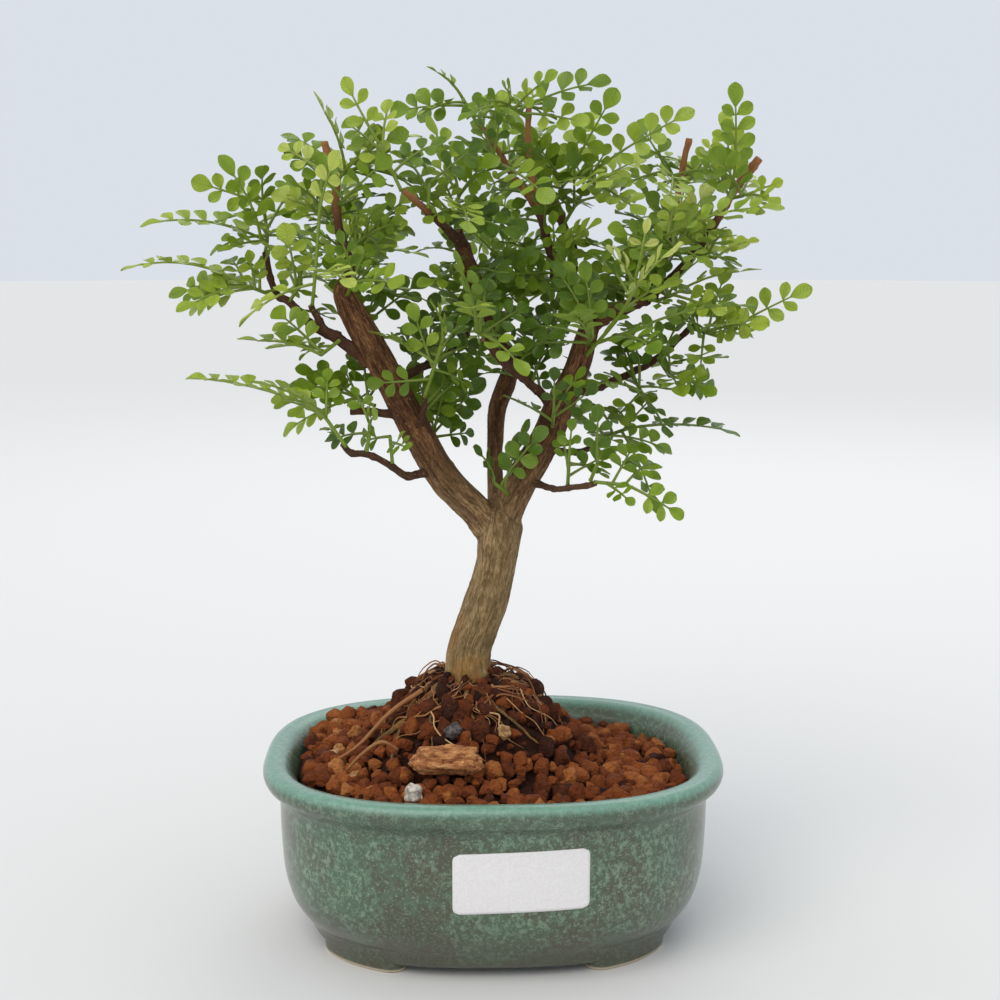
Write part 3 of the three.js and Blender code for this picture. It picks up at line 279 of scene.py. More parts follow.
class Finish:
    """One material, built up node by node."""

    def __init__(self, name):
        self.material = bpy.data.materials.new(name)
        self.material.use_nodes = True
        self.tree = self.material.node_tree
        self.tree.nodes.clear()

    def add(self, kind, settings=None, values=None, out=0):
        node = self.tree.nodes.new(kind)
        for key, value in (settings or {}).items():
            if key == "stops":
                self.fill_ramp(node.color_ramp, value)
            else:
                setattr(node, key, value)
        for key, value in (values or {}).items():
            socket = self.pick(node.inputs, key)
            if isinstance(value, Flow):
                self.tree.links.new(value.socket, socket)
            else:
                socket.default_value = value
        return Flow(self, self.pick(node.outputs, out))

    def pick(self, sockets, key):
        if isinstance(key, int):
            return [socket for socket in sockets if socket.enabled][key]
        return next(socket for socket in sockets if socket.name == key and socket.enabled)

    def fill_ramp(self, ramp, stops):
        while len(ramp.elements) < len(stops):
            ramp.elements.new(1.0)
        for element, (place, colour) in zip(ramp.elements, stops):
            element.position = place
            element.color = colour

    def place(self):
        return self.add("ShaderNodeTexCoord", out="Object")

    def value(self, name):
        return self.add("ShaderNodeAttribute", {"attribute_name": name}, out="Fac")

    def vector(self, name):
        return self.add("ShaderNodeAttribute", {"attribute_name": name}, out="Vector")

    def part(self, vector, axis):
        return self.add("ShaderNodeSeparateXYZ", None, {"Vector": vector}, out=axis)

    def stretched(self, vector, scale):
        return self.add("ShaderNodeVectorMath", {"operation": "MULTIPLY"}, {0: vector, 1: scale})

    def clouds(self, vector, scale, detail=4.0, roughness=0.55):
        return self.add("ShaderNodeTexNoise", None,
                        {"Vector": vector, "Scale": scale, "Detail": detail, "Roughness": roughness})

    def cells(self, vector, scale):
        return self.add("ShaderNodeTexVoronoi", None, {"Vector": vector, "Scale": scale})

    def blend(self, share, low, high):
        return self.add("ShaderNodeMix", {"data_type": "RGBA"},
                        {"Factor": share, "A": low, "B": high}, out="Result")

    def coats(self, colour, *layers):
        """Colours laid one over another, each with the share that it covers."""
        for share, over in layers:
            colour = self.blend(share, colour, over)
        return colour

    def ramp(self, share, stops):
        return self.add("ShaderNodeValToRGB", {"stops": stops}, {"Fac": share})

    def relief(self, height, depth):
        return self.add("ShaderNodeBump", None, {"Height": height, "Distance": depth, "Strength": 1.0})

    def surface(self, colour, roughness, normal=None, fixed=None):
        values = {"Base Color": colour, "Roughness": roughness, **(fixed or {})}
        if normal is not None:
            values["Normal"] = normal
        return self.add("ShaderNodeBsdfPrincipled", None, values)

    def done(self, shader):
        output = self.tree.nodes.new("ShaderNodeOutputMaterial")
        self.tree.links.new(shader.socket, output.inputs["Surface"])
        return self.material


# %% [markdown]
# ## The pot
# The pot is slip-cast or pressed stoneware: a squarish oval with a rolled lip, a bulging
# wall and four corner feet. One profile swept round the oval gives wall, lip, inside and
# floor in a single skin. A superellipse is the plan, since its one exponent moves between an
# ellipse and a rectangle.

# %% Pot shape
POT_WIDTH = 130
POT_DEPTH = 110
POT_HEIGHT = 52.5
POT_SQUARENESS = 2.7
POT_TURNS = 192
UNDERSIDE = 2.6
FLOOR_TOP = 8.5
DRAIN_OFFSET = 24
DRAIN_RADIUS = 6
OUTER_PROFILE = [
    [16, UNDERSIDE], [14.6, 2.9], [13.9, 4.2], [13.5, 6.2], [12.6, 7.6], [11, 9.2], [8.6, 12.2],
    [6.9, 16], [5.4, 22.5], [4.7, 33], [4.5, 41.8], [3.8, 44.2], [2.3, 45.8], [0.8, 47.3],
    [0, 49.2], [0.3, 50.9], [1.3, 52.1], [2.8, POT_HEIGHT],
]
INNER_PROFILE = [
    [5.2, 52.1], [7.6, 50], [9.8, 45], [10.4, 30], [11.6, 15], [14, 9.6], [21, FLOOR_TOP],
]
FLAT_INSETS = (50, 34)

# Between the feet the foot of the wall is fuller, so the crease over them fades there
FULLER_AT = [UNDERSIDE, 4.4, 6.5, 8.5, 11]
FULLER_BY = [0, 1.0, 1.7, 1.2, 0]


def oval(inset, turn):
    """Points of the plan outline, inset all round; turn is the angle in radians."""
    power = 2 / POT_SQUARENESS
    c, s = np.cos(turn), np.sin(turn)
    x = (POT_WIDTH / 2 - inset) * np.sign(c) * np.abs(c) ** power
    y = (POT_DEPTH / 2 - inset) * np.sign(s) * np.abs(s) ** power
    return x, y


def even_turns(count):
    """Angles that step evenly along the outline, so the squarish ends get no long faces."""
    fine = np.linspace(0, 2 * np.pi, 4001)
    x, y = oval(0, fine)
    run = np.concatenate([[0], np.cumsum(np.hypot(np.diff(x), np.diff(y)))])
    return np.interp(np.linspace(0, run[-1], count, endpoint=False), run, fine)


def flat_curve(points, step):
    stations = [[inset, 0, z, 0] for inset, z in points]
    return smooth_route(stations, step)[:, [0, 2]]


outer_curve = flat_curve(OUTER_PROFILE, 0.9)
inner_curve = flat_curve(INNER_PROFILE, 1.6)
underside = [[inset, UNDERSIDE] for inset in FLAT_INSETS]
inner_floor = [[inset, FLOOR_TOP] for inset in reversed(FLAT_INSETS)]
pot_profile = np.vstack([underside, outer_curve, inner_curve, inner_floor])
turns = even_turns(POT_TURNS)
between_feet = 1 - np.abs(np.sin(2 * turns)) ** 1.5
wall_end = len(underside) + len(outer_curve)
rings = []
for k, (inset, z) in enumerate(pot_profile):
    fuller = np.interp(z, FULLER_AT, FULLER_BY) if k < wall_end else 0
    x, y = oval(inset - fuller * between_feet, turns)
    rings.append(np.stack([x, y, np.full(POT_TURNS, z)], axis=1))
pot_points = np.vstack([*rings, [[0, 0, UNDERSIDE], [0, 0, FLOOR_TOP]]])
pot_faces = quilt(len(rings), POT_TURNS, closed=True)
under = len(pot_points) - 2
last_ring = (len(rings) - 1) * POT_TURNS
for i in range(POT_TURNS):
    j = (i + 1) % POT_TURNS
    pot_faces.append((under, j, i))
    pot_faces.append((under + 1, last_ring + i, last_ring + j))
print("pot skin", len(pot_points), "points")

# %% [markdown]
# Each foot is a curved block under a corner, rounded at both ends and let into the wall. The
# glazer wipes its underside clean, so the lowest millimetre stays bare clay.

# %% Feet
FOOT_INSET = 14
FOOT_THICKNESS = 9
FOOT_TURNS = (22, 64)
FOOT_STEPS = 26


def foot_outline(shrink):
    """A curved bar with round ends, seen from above, for the corner at +x +y."""
    start, end = np.radians(FOOT_TURNS)
    half = FOOT_THICKNESS / 2 - shrink
    middle = FOOT_INSET + FOOT_THICKNESS / 2
    x, y = oval(middle, np.linspace(start, end, FOOT_STEPS))
    centre = np.stack([x, y], axis=1)
    way = unit(np.gradient(centre, axis=0))
    aside = np.stack([way[:, 1], -way[:, 0]], axis=1)
    trim = int(FOOT_STEPS * 0.14)
    centre, way, aside = centre[trim:-trim], way[trim:-trim], aside[trim:-trim]
    fan = np.linspace(0, np.pi, 9)[1:-1, None]
    head = centre[-1] + half * (np.cos(fan) * aside[-1] + np.sin(fan) * way[-1])
    tail = centre[0] - half * (np.cos(fan) * aside[0] + np.sin(fan) * way[0])
    return np.vstack([centre + half * aside, head, (centre - half * aside)[::-1], tail])


foot_levels = [(1.0, 0), (0.35, 0.25), (0.0, 0.9), (-0.3, 3.2), (-0.9, 6.5)]
foot_rings = [np.column_stack([foot_outline(shrink), np.full(len(foot_outline(0)), z)])
              for shrink, z in foot_levels]
foot_count = len(foot_rings[0])
foot_points = np.vstack(foot_rings)
foot_faces = quilt(len(foot_rings), foot_count, closed=True)
foot_faces.append(tuple(range(foot_count))[::-1])
foot_faces.append(tuple((len(foot_rings) - 1) * foot_count + i for i in range(foot_count)))

# %% [markdown]
# The glaze is a mottled sea green. The lip's face and the crease under it carry painted
# shade, and the top edge of the lip a painted highlight. Clouds at several sizes carry the
# mottle, small flecks the lighter crystals and the iron spots, and the height on the pot, in
# millimetres, decides where the painted light lies and where the glaze turns grey brown towards
# the foot. The coats below lie one over another, from the body of the glaze to the bare clay of
# the feet.

# %% Glaze
def glaze_finish():
    look = Finish("sea_green_glaze")
    place = look.place()
    height = look.part(place, "Z") * 1000.0
    cloud = look.clouds(place, 70.0, 5.0, 0.6)
    zones = look.clouds(look.stretched(place, (1.0, 1.0, 0.6)), 38.0, 2.0)
    mottle = look.clouds(look.stretched(place, (1.0, 1.0, 0.8)), 620.0, 5.0, 0.75)
    fleck = look.clouds(place, 1600.0, 2.0, 0.6)
    pale = mottle.between(0.47, 0.64) * zones.between(0.36, 0.56).between(-0.4, 1.0) * 0.75
    grey = mottle.between(0.53, 0.4) * zones.between(0.6, 0.42).between(-0.4, 1.0) * 0.6
    iron = look.cells(place, 520.0).between(0.26, 0.08) * cloud.between(0.6, 0.4) * 0.6
    foot = height.between(24.0, 3.0) * 0.7
    # painted shade on the underside and face of the rolled lip
    painted_shade_lip = height.between(45.4, 47.4) * 0.3
    # painted shade in the crease under the overhanging lip
    painted_shade_crease = height.between(42.4, 44.8) * height.between(47.0, 45.4) * 0.3
    # painted highlight along the top edge of the lip, where light from above catches it
    edge = height.between(49.6, 52.0) * (mottle * 0.6 + 0.35)
    bare = height.between(1.3, 0.6)
    colour = look.coats(
        seen(76, 82, 62), (cloud.between(0.4, 0.6), seen(74, 100, 76)), (pale, seen(130, 156, 130)),
        (grey, seen(74, 70, 56)), (fleck.between(0.55, 0.68) * 0.45, seen(148, 174, 152)),
        (iron, seen(88, 72, 52)), (foot, seen(70, 66, 50)), (painted_shade_lip, seen(66, 86, 68)),
        (painted_shade_crease, seen(62, 72, 58)), (edge.math("MINIMUM", 0.75), seen(122, 172, 152)),
        (bare, seen(205, 188, 160)),
    )
    roughness = bare * 0.6 + 0.2 + mottle * 0.1
    normal = look.relief(mottle * 0.6 + cloud, 0.0005)
    return look.done(look.surface(colour, roughness, normal, {"Coat Weight": 0.35, "Coat Roughness": 0.12}))


pot_shell = Shell()
pot_shell.add(pot_points, pot_faces)
pot = pot_shell.piece("glazed_pot", glaze_finish(), "glaze", replaces=("pot",))

# %% [markdown]
# The drain holes are cut with Boolean modifiers, as a potter cuts them with a tube, and the
# result is kept as the mesh. The feet are added after the cut, so their round ends stay
# clean.

# %% Drain holes
def mesh_of(name, shape):
    mesh = bpy.data.meshes.new(name)
    shape.to_mesh(mesh)
    shape.free()
    return mesh


def modify(obj, kind, **settings):
    modifier = obj.modifiers.new(kind.lower(), kind)
    for key, value in settings.items():
        setattr(modifier, key, value)


def keep_modified(obj):
    bpy.context.view_layer.update()
    shaped = bpy.data.meshes.new_from_object(obj.evaluated_get(bpy.context.evaluated_depsgraph_get()))
    obj.modifiers.clear()
    obj.data = shaped


cutters = []
for side in (-1, 1):
    shape = bmesh.new()
    bmesh.ops.create_cone(shape, cap_ends=True, segments=40, radius1=DRAIN_RADIUS * MM,
                          radius2=DRAIN_RADIUS * MM, depth=4 * FLOOR_TOP * MM)
    cutter = linked("drain_cutter", mesh_of("drain_cutter", shape))
    cutter.location = in_frame([side * DRAIN_OFFSET, 0, 0])
    modify(pot, "BOOLEAN", operation="DIFFERENCE", solver="EXACT", object=cutter)
    cutters.append(cutter)
keep_modified(pot)
for cutter in cutters:
    bpy.data.objects.remove(cutter)

feet = Shell()
for mirror_x, mirror_y in product((-1, 1), repeat=2):
    faces = foot_faces if mirror_x == mirror_y else [face[::-1] for face in foot_faces]
    feet.add(foot_points * [mirror_x, mirror_y, 1], faces)
feet.piece("pot_feet", pot.data.materials[0], "glaze")
print("pot after cutting", len(pot.data.polygons), "faces")

# %% [markdown]
# ## The soil
# Akadama is a clay that is dug, dried and sieved, here into grains of 3 to 7 mm. Under the
# loose grains lies a plain bed that fills the pot and rises to the mound. The height of the
# ground is one formula, so that grains, roots and pebbles can all be set on it.

# %% Ground
SOIL_LEVEL = 48
SOIL_TILT = 0.04
MOUND_HEIGHT = 24
MOUND_RADIUS = 28
MOUND_X, MOUND_Y = -5, 2
BANK_HEIGHT = 3.5
BED_INSET = 10.2
BED_DROP = 2.2


def ground(x, y):
    away = np.hypot(x - MOUND_X, y - MOUND_Y) / MOUND_RADIUS
    bank = BANK_HEIGHT * np.exp(-((x + 42) / 22) ** 2 - ((y - 28) / 18) ** 2)
    return SOIL_LEVEL - SOIL_TILT * x + bank + MOUND_HEIGHT * np.exp(-away ** 3)


def inside_pot(x, y, margin):
    a = POT_WIDTH / 2 - BED_INSET - margin
    b = POT_DEPTH / 2 - BED_INSET - margin
    return np.abs(x / a) ** POT_SQUARENESS + np.abs(y / b) ** POT_SQUARENESS < 1


# %% [markdown]
# The clay's colour runs from dark red brown to orange, and old ground on the mound is nearly
# black with humus. Each grain carries a tone from 0 to 1, and a ramp turns it into colour,
# with pores and dust from fine noise.

# %% Clay finish
CLAY_TONES = [
    (0.0, seen(24, 12, 8)), (0.2, seen(58, 26, 12)), (0.45, seen(112, 54, 22)),
    (0.7, seen(148, 80, 36)), (0.88, seen(180, 116, 62)), (1.0, seen(210, 172, 124)),
]


def clay_finish():
    look = Finish("akadama_clay")
    place = look.place()
    dust = look.clouds(place, 760.0, 5.0, 0.7)
    pores = look.cells(place, 1300.0)
    tone = look.value("tone") + (dust - 0.5) * 0.6
    colour = look.ramp(tone, CLAY_TONES)
    normal = look.relief(dust * 1.2 + pores * 0.4, 0.0009)
    return look.done(look.surface(colour, 0.88 + dust * 0.1, normal, {"Specular IOR Level": 0.25}))


clay = clay_finish()

# %% Soil bed
BED_RINGS = 46
BED_TURNS = 128
BED_FLOOR = FLOOR_TOP + 0.4
BED_WALL = [(10.9, 30), (12.1, 15), (14.6, 10.4), (21.5, BED_FLOOR)]
bed_angles = even_turns(BED_TURNS)
edge_x, edge_y = oval(BED_INSET, bed_angles)
bed = []
for k in range(BED_RINGS + 1):
    share = k / BED_RINGS
    x, y = edge_x * share, edge_y * share
    bumps = layered(np.column_stack([x, y, np.zeros(BED_TURNS)]), 3.4, 5)
    bed.append(np.column_stack([x, y, ground(x, y) - BED_DROP + 0.8 * bumps]))
for inset, z in BED_WALL:
    x, y = oval(inset, bed_angles)
    bed.append(np.column_stack([x, y, np.full(BED_TURNS, z)]))
bed_points = np.vstack([*bed, [[0, 0, BED_FLOOR]]])
bed_faces = quilt(len(bed), BED_TURNS, closed=True)
last_ring = (len(bed) - 1) * BED_TURNS
centre = len(bed_points) - 1
bed_faces += [(last_ring + i, last_ring + (i + 1) % BED_TURNS, centre) for i in range(BED_TURNS)]
bed_shell = Shell()
bed_shell.add(bed_points, bed_faces, tone=0.16)
bed_shell.piece("soil_bed", clay, "akadama", replaces=("soil",))

# %% [markdown]
# A grain is a lump with worn corners. A ball is cut by a few random planes and the cuts are
# rounded, which gives the chunky outline of broken clay. Twelve coarse grains and eight fine
# ones are made once and then turned, stretched and scattered.

# %% Grain shapes
def ball(divisions):
    shape = bmesh.new()
    bmesh.ops.create_icosphere(shape, subdivisions=divisions, radius=1.0)
    shape.verts.ensure_lookup_table()
    points = np.array([vertex.co[:] for vertex in shape.verts])
    faces = [tuple(vertex.index for vertex in face.verts) for face in shape.faces]
    shape.free()
    return points, faces


def chunk(divisions, draws, cuts=14, bevel=22.0):
    """A ball cut by random planes; bevel is how sharp the corners between the cuts stay."""
    points, faces = ball(divisions)
    ways = unit(draws.normal(size=(cuts, 3)))
    depth = draws.uniform(0.55, 0.85, cuts)
    reach = np.clip(points @ ways.T, 0.02, None) / depth
    radius = (np.sum(reach ** bevel, axis=1) + 1) ** (-1 / bevel)
    worn = points * radius[:, None]
    return worn * (1 + 0.09 * layered(worn * 3, 1.0, 3))[:, None], faces


def random_turn(draws):
    a, b, c, d = unit(draws.normal(size=4))
    return np.array([
        [1 - 2 * (c * c + d * d), 2 * (b * c - a * d), 2 * (b * d + a * c)],
        [2 * (b * c + a * d), 1 - 2 * (b * b + d * d), 2 * (c * d - a * b)],
        [2 * (b * d - a * c), 2 * (c * d + a * b), 1 - 2 * (b * b + c * c)],
    ])


COARSE_KINDS = 12
FINE_KINDS = 8
grain_draws = np.random.default_rng(411)
coarse_grains = [chunk(3, grain_draws) for _ in range(COARSE_KINDS)]
fine_grains = [chunk(2, grain_draws, 10) for _ in range(FINE_KINDS)]

# %% [markdown]
# Grains lie about a grain apart. A staggered grid with random shifts does that without
# leaving bare patches. On the mound the old ground is finer and darker, and some grains on
# the left are pale. Crumbs fill the gaps, most of all on the mound.

# %% Scattered grains
TRUNK_FOOT = (-6.9, 0)
TRUNK_ROOM = 7.2
GRID_REACH_X, GRID_REACH_Y = 70, 60
GRAIN_PITCH, GRAIN_MARGIN = 3.9, 1.4
CRUMB_PITCH, CRUMB_MARGIN = 2.5, 1.0
GRAIN_SIZES = (3.4, 7.0)
CRUMB_SIZES = (1.2, 3.1)


def mound_share(x, y):
    return np.exp(-(np.hypot(x - MOUND_X, y - MOUND_Y) / 27) ** 4)


def scatter(draws, pitch, margin):
    spots = []
    rows, columns = int(GRID_REACH_Y / pitch), int(GRID_REACH_X / pitch)
    for j, i in product(range(-rows, rows + 1), range(-columns, columns + 1)):
        x = (i + 0.5 * (j % 2) + draws.uniform(-0.32, 0.32)) * pitch
        y = (j + draws.uniform(-0.32, 0.32)) * pitch * 0.9
        near_trunk = math.hypot(x - TRUNK_FOOT[0], y - TRUNK_FOOT[1]) < TRUNK_ROOM
        if inside_pot(x, y, margin) and not near_trunk:
            spots.append((x, y))
    return spots


def lay_grain(shell, shape, draws, x, y, size, sink, tone):
    points, faces = shape
    stretch = size / 2 * draws.uniform(0.8, 1.2, 3)
    turned = (points * stretch) @ random_turn(draws).T
    middle = [x, y, ground(x, y) + sink]
    shell.add(turned + middle, faces, tone=tone)


gravel = {"left": Shell(), "right": Shell()}
layout = np.random.default_rng(27)
for x, y in scatter(layout, GRAIN_PITCH, GRAIN_MARGIN):
    on_mound = mound_share(x, y)
    if layout.uniform() < 0.45 * on_mound:
        continue
    size = layout.uniform(*GRAIN_SIZES)
    tone = float(np.clip(layout.normal(0.54, 0.13) - 0.16 * on_mound, 0.1, 0.9))
    if x < -30 and layout.uniform() < 0.3:
        tone += 0.18
    side = "left" if x < 0 else "right"
    sink = layout.uniform(-1.0, 0.3)
    lay_grain(gravel[side], coarse_grains[layout.integers(COARSE_KINDS)], layout, x, y, size, sink, tone)
for side, shell in gravel.items():
    shell.piece(f"grains_{side}", clay, "akadama", flat=True)

crumbs = Shell()
for x, y in scatter(layout, CRUMB_PITCH, CRUMB_MARGIN):
    on_mound = mound_share(x, y)
    if layout.uniform() > 0.18 + 0.8 * on_mound:
        continue
    size = layout.uniform(*CRUMB_SIZES)
    tone = float(np.clip(layout.normal(0.45, 0.16) - 0.2 * on_mound, 0.03, 0.95))
    sink = layout.uniform(-0.5, 0.4) - 0.4 * on_mound
    lay_grain(crumbs, fine_grains[layout.integers(FINE_KINDS)], layout, x, y, size, sink, tone)
crumbs.piece("soil_crumbs", clay, "akadama", flat=True)

# %% [markdown]
# The top of the mound is the old root ball: dark clods that stand up unevenly between the
# roots, with a collar of crumbs banked against the trunk.

# %% Old root ball
CLODS = 150
COLLAR_CRUMBS = 90
BIG_CLODS = [
    (-26, 0, 9), (-22, 7, 8), (-21, -5, 6.5), (12, 2, 8.5), (16, -3, 6.5), (9, 8, 8), (-12, -14, 6),
]
clods = Shell()
for x, y, size in BIG_CLODS:
    kind, tone = coarse_grains[layout.integers(COARSE_KINDS)], layout.uniform(0.14, 0.36)
    lay_grain(clods, kind, layout, x, y, size, 0.6, tone)
for k in range(CLODS + COLLAR_CRUMBS):
    in_collar = k >= CLODS
    turn = layout.uniform(0, 2 * math.pi)
    away = layout.uniform(6.6, 9.5) if in_collar else 21 * math.sqrt(layout.uniform(0.1, 1))
    x, y = TRUNK_FOOT[0] + away * math.cos(turn), TRUNK_FOOT[1] + away * math.sin(turn)
    size = layout.uniform(1.4, 3.2) if in_collar else layout.uniform(3.0, 7.0)
    rise = layout.uniform(0, 1) * (10.2 - away) if in_collar else layout.uniform(-2.4, 0.6)
    tone = float(np.clip(layout.normal(0.27, 0.13), 0.04, 0.66))
    lay_grain(clods, coarse_grains[layout.integers(COARSE_KINDS)], layout, x, y, size, rise, tone)
clods.piece("humus_clods", clay, "akadama", flat=True)

# %% [markdown]
# ## The wood
# The trunk is short and thick with three main limbs, cut back many times. The routes below
# are those of the solids: x, y, z and radius at each station, and for a root its direction in
# degrees, reach, bow and radius. Trunk, limbs and large roots are joined into one skin by a
# voxel remesh and smoothed more above the roots, which rounds the forks as growth does. Bark
# relief is then pushed into the skin along the way each limb runs.

# %% Wood routes
TRUNK = [
    [-7, 0, 58, 6.4], [-6.9, 0, 72, 6.5], [-6.2, 0, 82, 6.1], [-2, -1, 94.5, 6.1],
    [0.6, -2, 105.6, 5.5], [1.8, -2, 115.6, 6], [2.3, -2, 121.8, 4.8],
]
LIMBS = {
    "left": [
        [1.2, -2, 113, 4.2], [-4.1, -3, 120.9, 4.4], [-13, -5, 130.3, 4.3], [-19.9, -6, 141.6, 4.2],
        [-26, -8, 153.7, 4], [-31.3, -9, 163.9, 3.9], [-36, -10, 172.6, 3.9], [-40.2, -10, 181.2, 3],
    ],
    "middle": [
        [2.1, 0, 116, 3], [0.8, 4, 131.7, 2.3], [1, 7, 140.7, 2.4], [1.5, 9, 148.5, 2.6],
        [3.9, 12, 155, 2.8], [6.2, 14, 161, 2.3],
    ],
    "right": [
        [2.3, -2, 116, 4.6], [7.3, -3, 127.9, 4.6], [14.7, -5, 141.3, 4.3], [17.6, -6, 149.2, 4.1],
        [20.8, -7, 156.5, 3.7], [23.4, -8, 163.1, 3.4], [25, -8, 169.1, 3.1], [26.9, -8, 175.1, 2.6],
    ],
}
TWIGS = {
    "left_low": [
        [-17, -5, 133, 1.3], [-23.1, -12, 132.5, 1.1], [-28.9, -17, 136.5, 0.9], [-34.1, -20, 139.9, 0.9],
        [-37.9, -22, 140.2, 0.9], [-40.4, -24, 142.9, 0.8],
    ],
    "left_stub": [[-25.5, -8, 148.8, 1.3], [-32.4, -6, 149.4, 1.1], [-39.1, -4, 149.5, 1]],
    "left_side": [
        [-34, -9, 163.5, 1.9], [-41.9, -12, 170.1, 1.5], [-45.2, -14, 172.6, 1.1], [-48.5, -17, 179.1, 0.8],
    ],
    "left_outer": [
        [-41.9, -12, 170.1, 1.4], [-49.4, -8, 173.6, 1.2], [-55.4, -3, 179, 1.1], [-59.2, 0, 181.6, 1],
        [-61.2, 2, 186.5, 0.9], [-62.6, 4, 192.7, 0.8],
    ],
    "left_rise": [
        [-39.5, -10, 178, 2], [-38.6, -8, 188.1, 1.4], [-41.7, -7, 200.1, 1.2], [-42.4, -6, 210.7, 1.1],
        [-45, -5, 222.3, 1],
    ],
    "left_inner": [[-20.5, -6, 143, 1.2], [-18.8, -14, 151.6, 0.8], [-18.8, -17, 155.1, 0.7]],
    "left_cross": [
        [-26.8, -8, 157.3, 1.5], [-20.6, 0, 160.7, 1.2], [-14, 10, 163.2, 1.1], [-6.5, 22, 168.9, 0.9],
    ],
    "middle_rise": [
        [6.2, 14, 159.5, 2.3], [2.4, 10, 168, 1.9], [-2.5, 6, 178, 1.8], [-5.9, 2, 188.4, 2.1],
        [-9.7, -1, 198.5, 1.8],
    ],
    "middle_arm": [
        [-8, 0, 194.5, 1.4], [-14.6, -8, 200.9, 1], [-18.2, -12, 204, 1], [-23.9, -18, 209.1, 0.7],
    ],
    "middle_right": [[5.5, 13.5, 159.5, 1.9], [11.1, 20, 163.6, 1.5], [19.6, 32, 169.4, 1]],
    "right_cross": [
        [16.5, -6, 150.5, 1.4], [10.5, -10, 157.1, 1.2], [2.9, -17, 163.6, 1.2], [-2.8, -23, 170.2, 0.9],
    ],
    "right_low": [
        [9, -3.5, 130, 1.2], [15, -10, 129, 0.9], [18.7, -16, 129.3, 0.8], [26.7, -24, 132.1, 0.8],
    ],
    "right_back": [[14.5, -5, 140, 1.2], [19.6, 2, 137.3, 1], [24.8, 8, 136.2, 0.9], [30.8, 14, 137.7, 0.8]],
    "right_side": [
        [20.5, -7, 155.5, 1.5], [26.5, -2, 154.6, 1.2], [32.8, 4, 156.6, 1.1], [40.5, 8, 159.3, 1],
        [47.2, 12, 162.6, 0.9], [57.5, 15, 171.8, 0.8],
    ],
    "right_arm": [
        [26.5, -8, 173.5, 2.4], [32.7, -4, 176.2, 1.9], [38.6, 0, 178.2, 1.7], [45.7, 6, 181, 1.4],
    ],
    "right_long": [
        [43.5, 4, 180.3, 1.3], [52.3, 8, 187.1, 1.2], [60.8, 10, 197.3, 1.1], [67.6, 8, 209.2, 1.1],
        [73.7, 4, 218, 1.2],
    ],
    "centre_left": [
        [26.5, -8, 173.5, 2.2], [22.7, -2, 179.7, 1.9], [18.6, 4, 184.7, 1.7], [16.8, 6, 191.3, 1.3],
        [12.8, 6, 204.5, 1], [9.8, 2, 221.4, 0.8], [9.9, 0, 234, 0.8],
    ],
    "centre_right": [
        [21.5, 0, 181, 1.7], [23.2, 14, 192.5, 1.4], [21.1, 18, 198.7, 1.3], [18.7, 20, 205.7, 1.2],
        [14.1, 20, 214.7, 1],
    ],
    "right_stub": [
        [45, 5.5, 180.5, 1.3], [50.4, 16, 195.9, 1], [55.1, 20, 216.9, 0.9], [56.4, 20, 224.2, 0.9],
    ],
    "centre_stub": [
        [13.4, 6, 203, 0.9], [7.4, 10, 211.6, 0.8], [-1.2, 13, 225.4, 0.8], [-3.4, 13, 228.1, 0.8],
    ],
    "back_left": [[-31, -9, 163.5, 1.6], [-35, 4, 171, 1.3], [-38, 18, 180, 1.1], [-41, 30, 187, 0.9]],
    "back_middle": [[16, 27, 167.3, 1.2], [10, 38, 176, 1], [6, 46, 185, 0.8]],
    "back_right": [[42.5, 3.5, 179.8, 1.4], [48, 22, 183, 1.1], [54, 38, 191, 0.8]],
    "back_top": [[20, 19.5, 202, 1.2], [14, 30, 208, 1], [8, 37, 213, 0.8]],
}
ROOTS = [
    [196, 34, 5, 1.5], [226, 32, -6, 1.2], [246, 26, -3, 1.1], [284, 25, -3, 1.1], [314, 26, -4, 1.1],
    [350, 25, 4, 2], [40, 27, -4, 1.3], [130, 29, -5, 1.4],
]
ROOT_STEPS = 5
ROOT_TAPER = 0.55
ROOT_CROWN = 72


def root_stations(degrees, reach, bow, radius):
    turn = math.radians(degrees)
    stations = []
    for i in range(ROOT_STEPS + 1):
        part = i / ROOT_STEPS
        out, aside = reach * part, bow * math.sin(math.pi * part)
        x = TRUNK[1][0] + out * math.cos(turn) - aside * math.sin(turn)
        y = TRUNK[1][1] + out * math.sin(turn) + aside * math.cos(turn)
        thick = radius * (1 - ROOT_TAPER * part)
        stations.append([x, y, min(float(ground(x, y)) + 0.45 * thick, ROOT_CROWN), thick])
    return stations
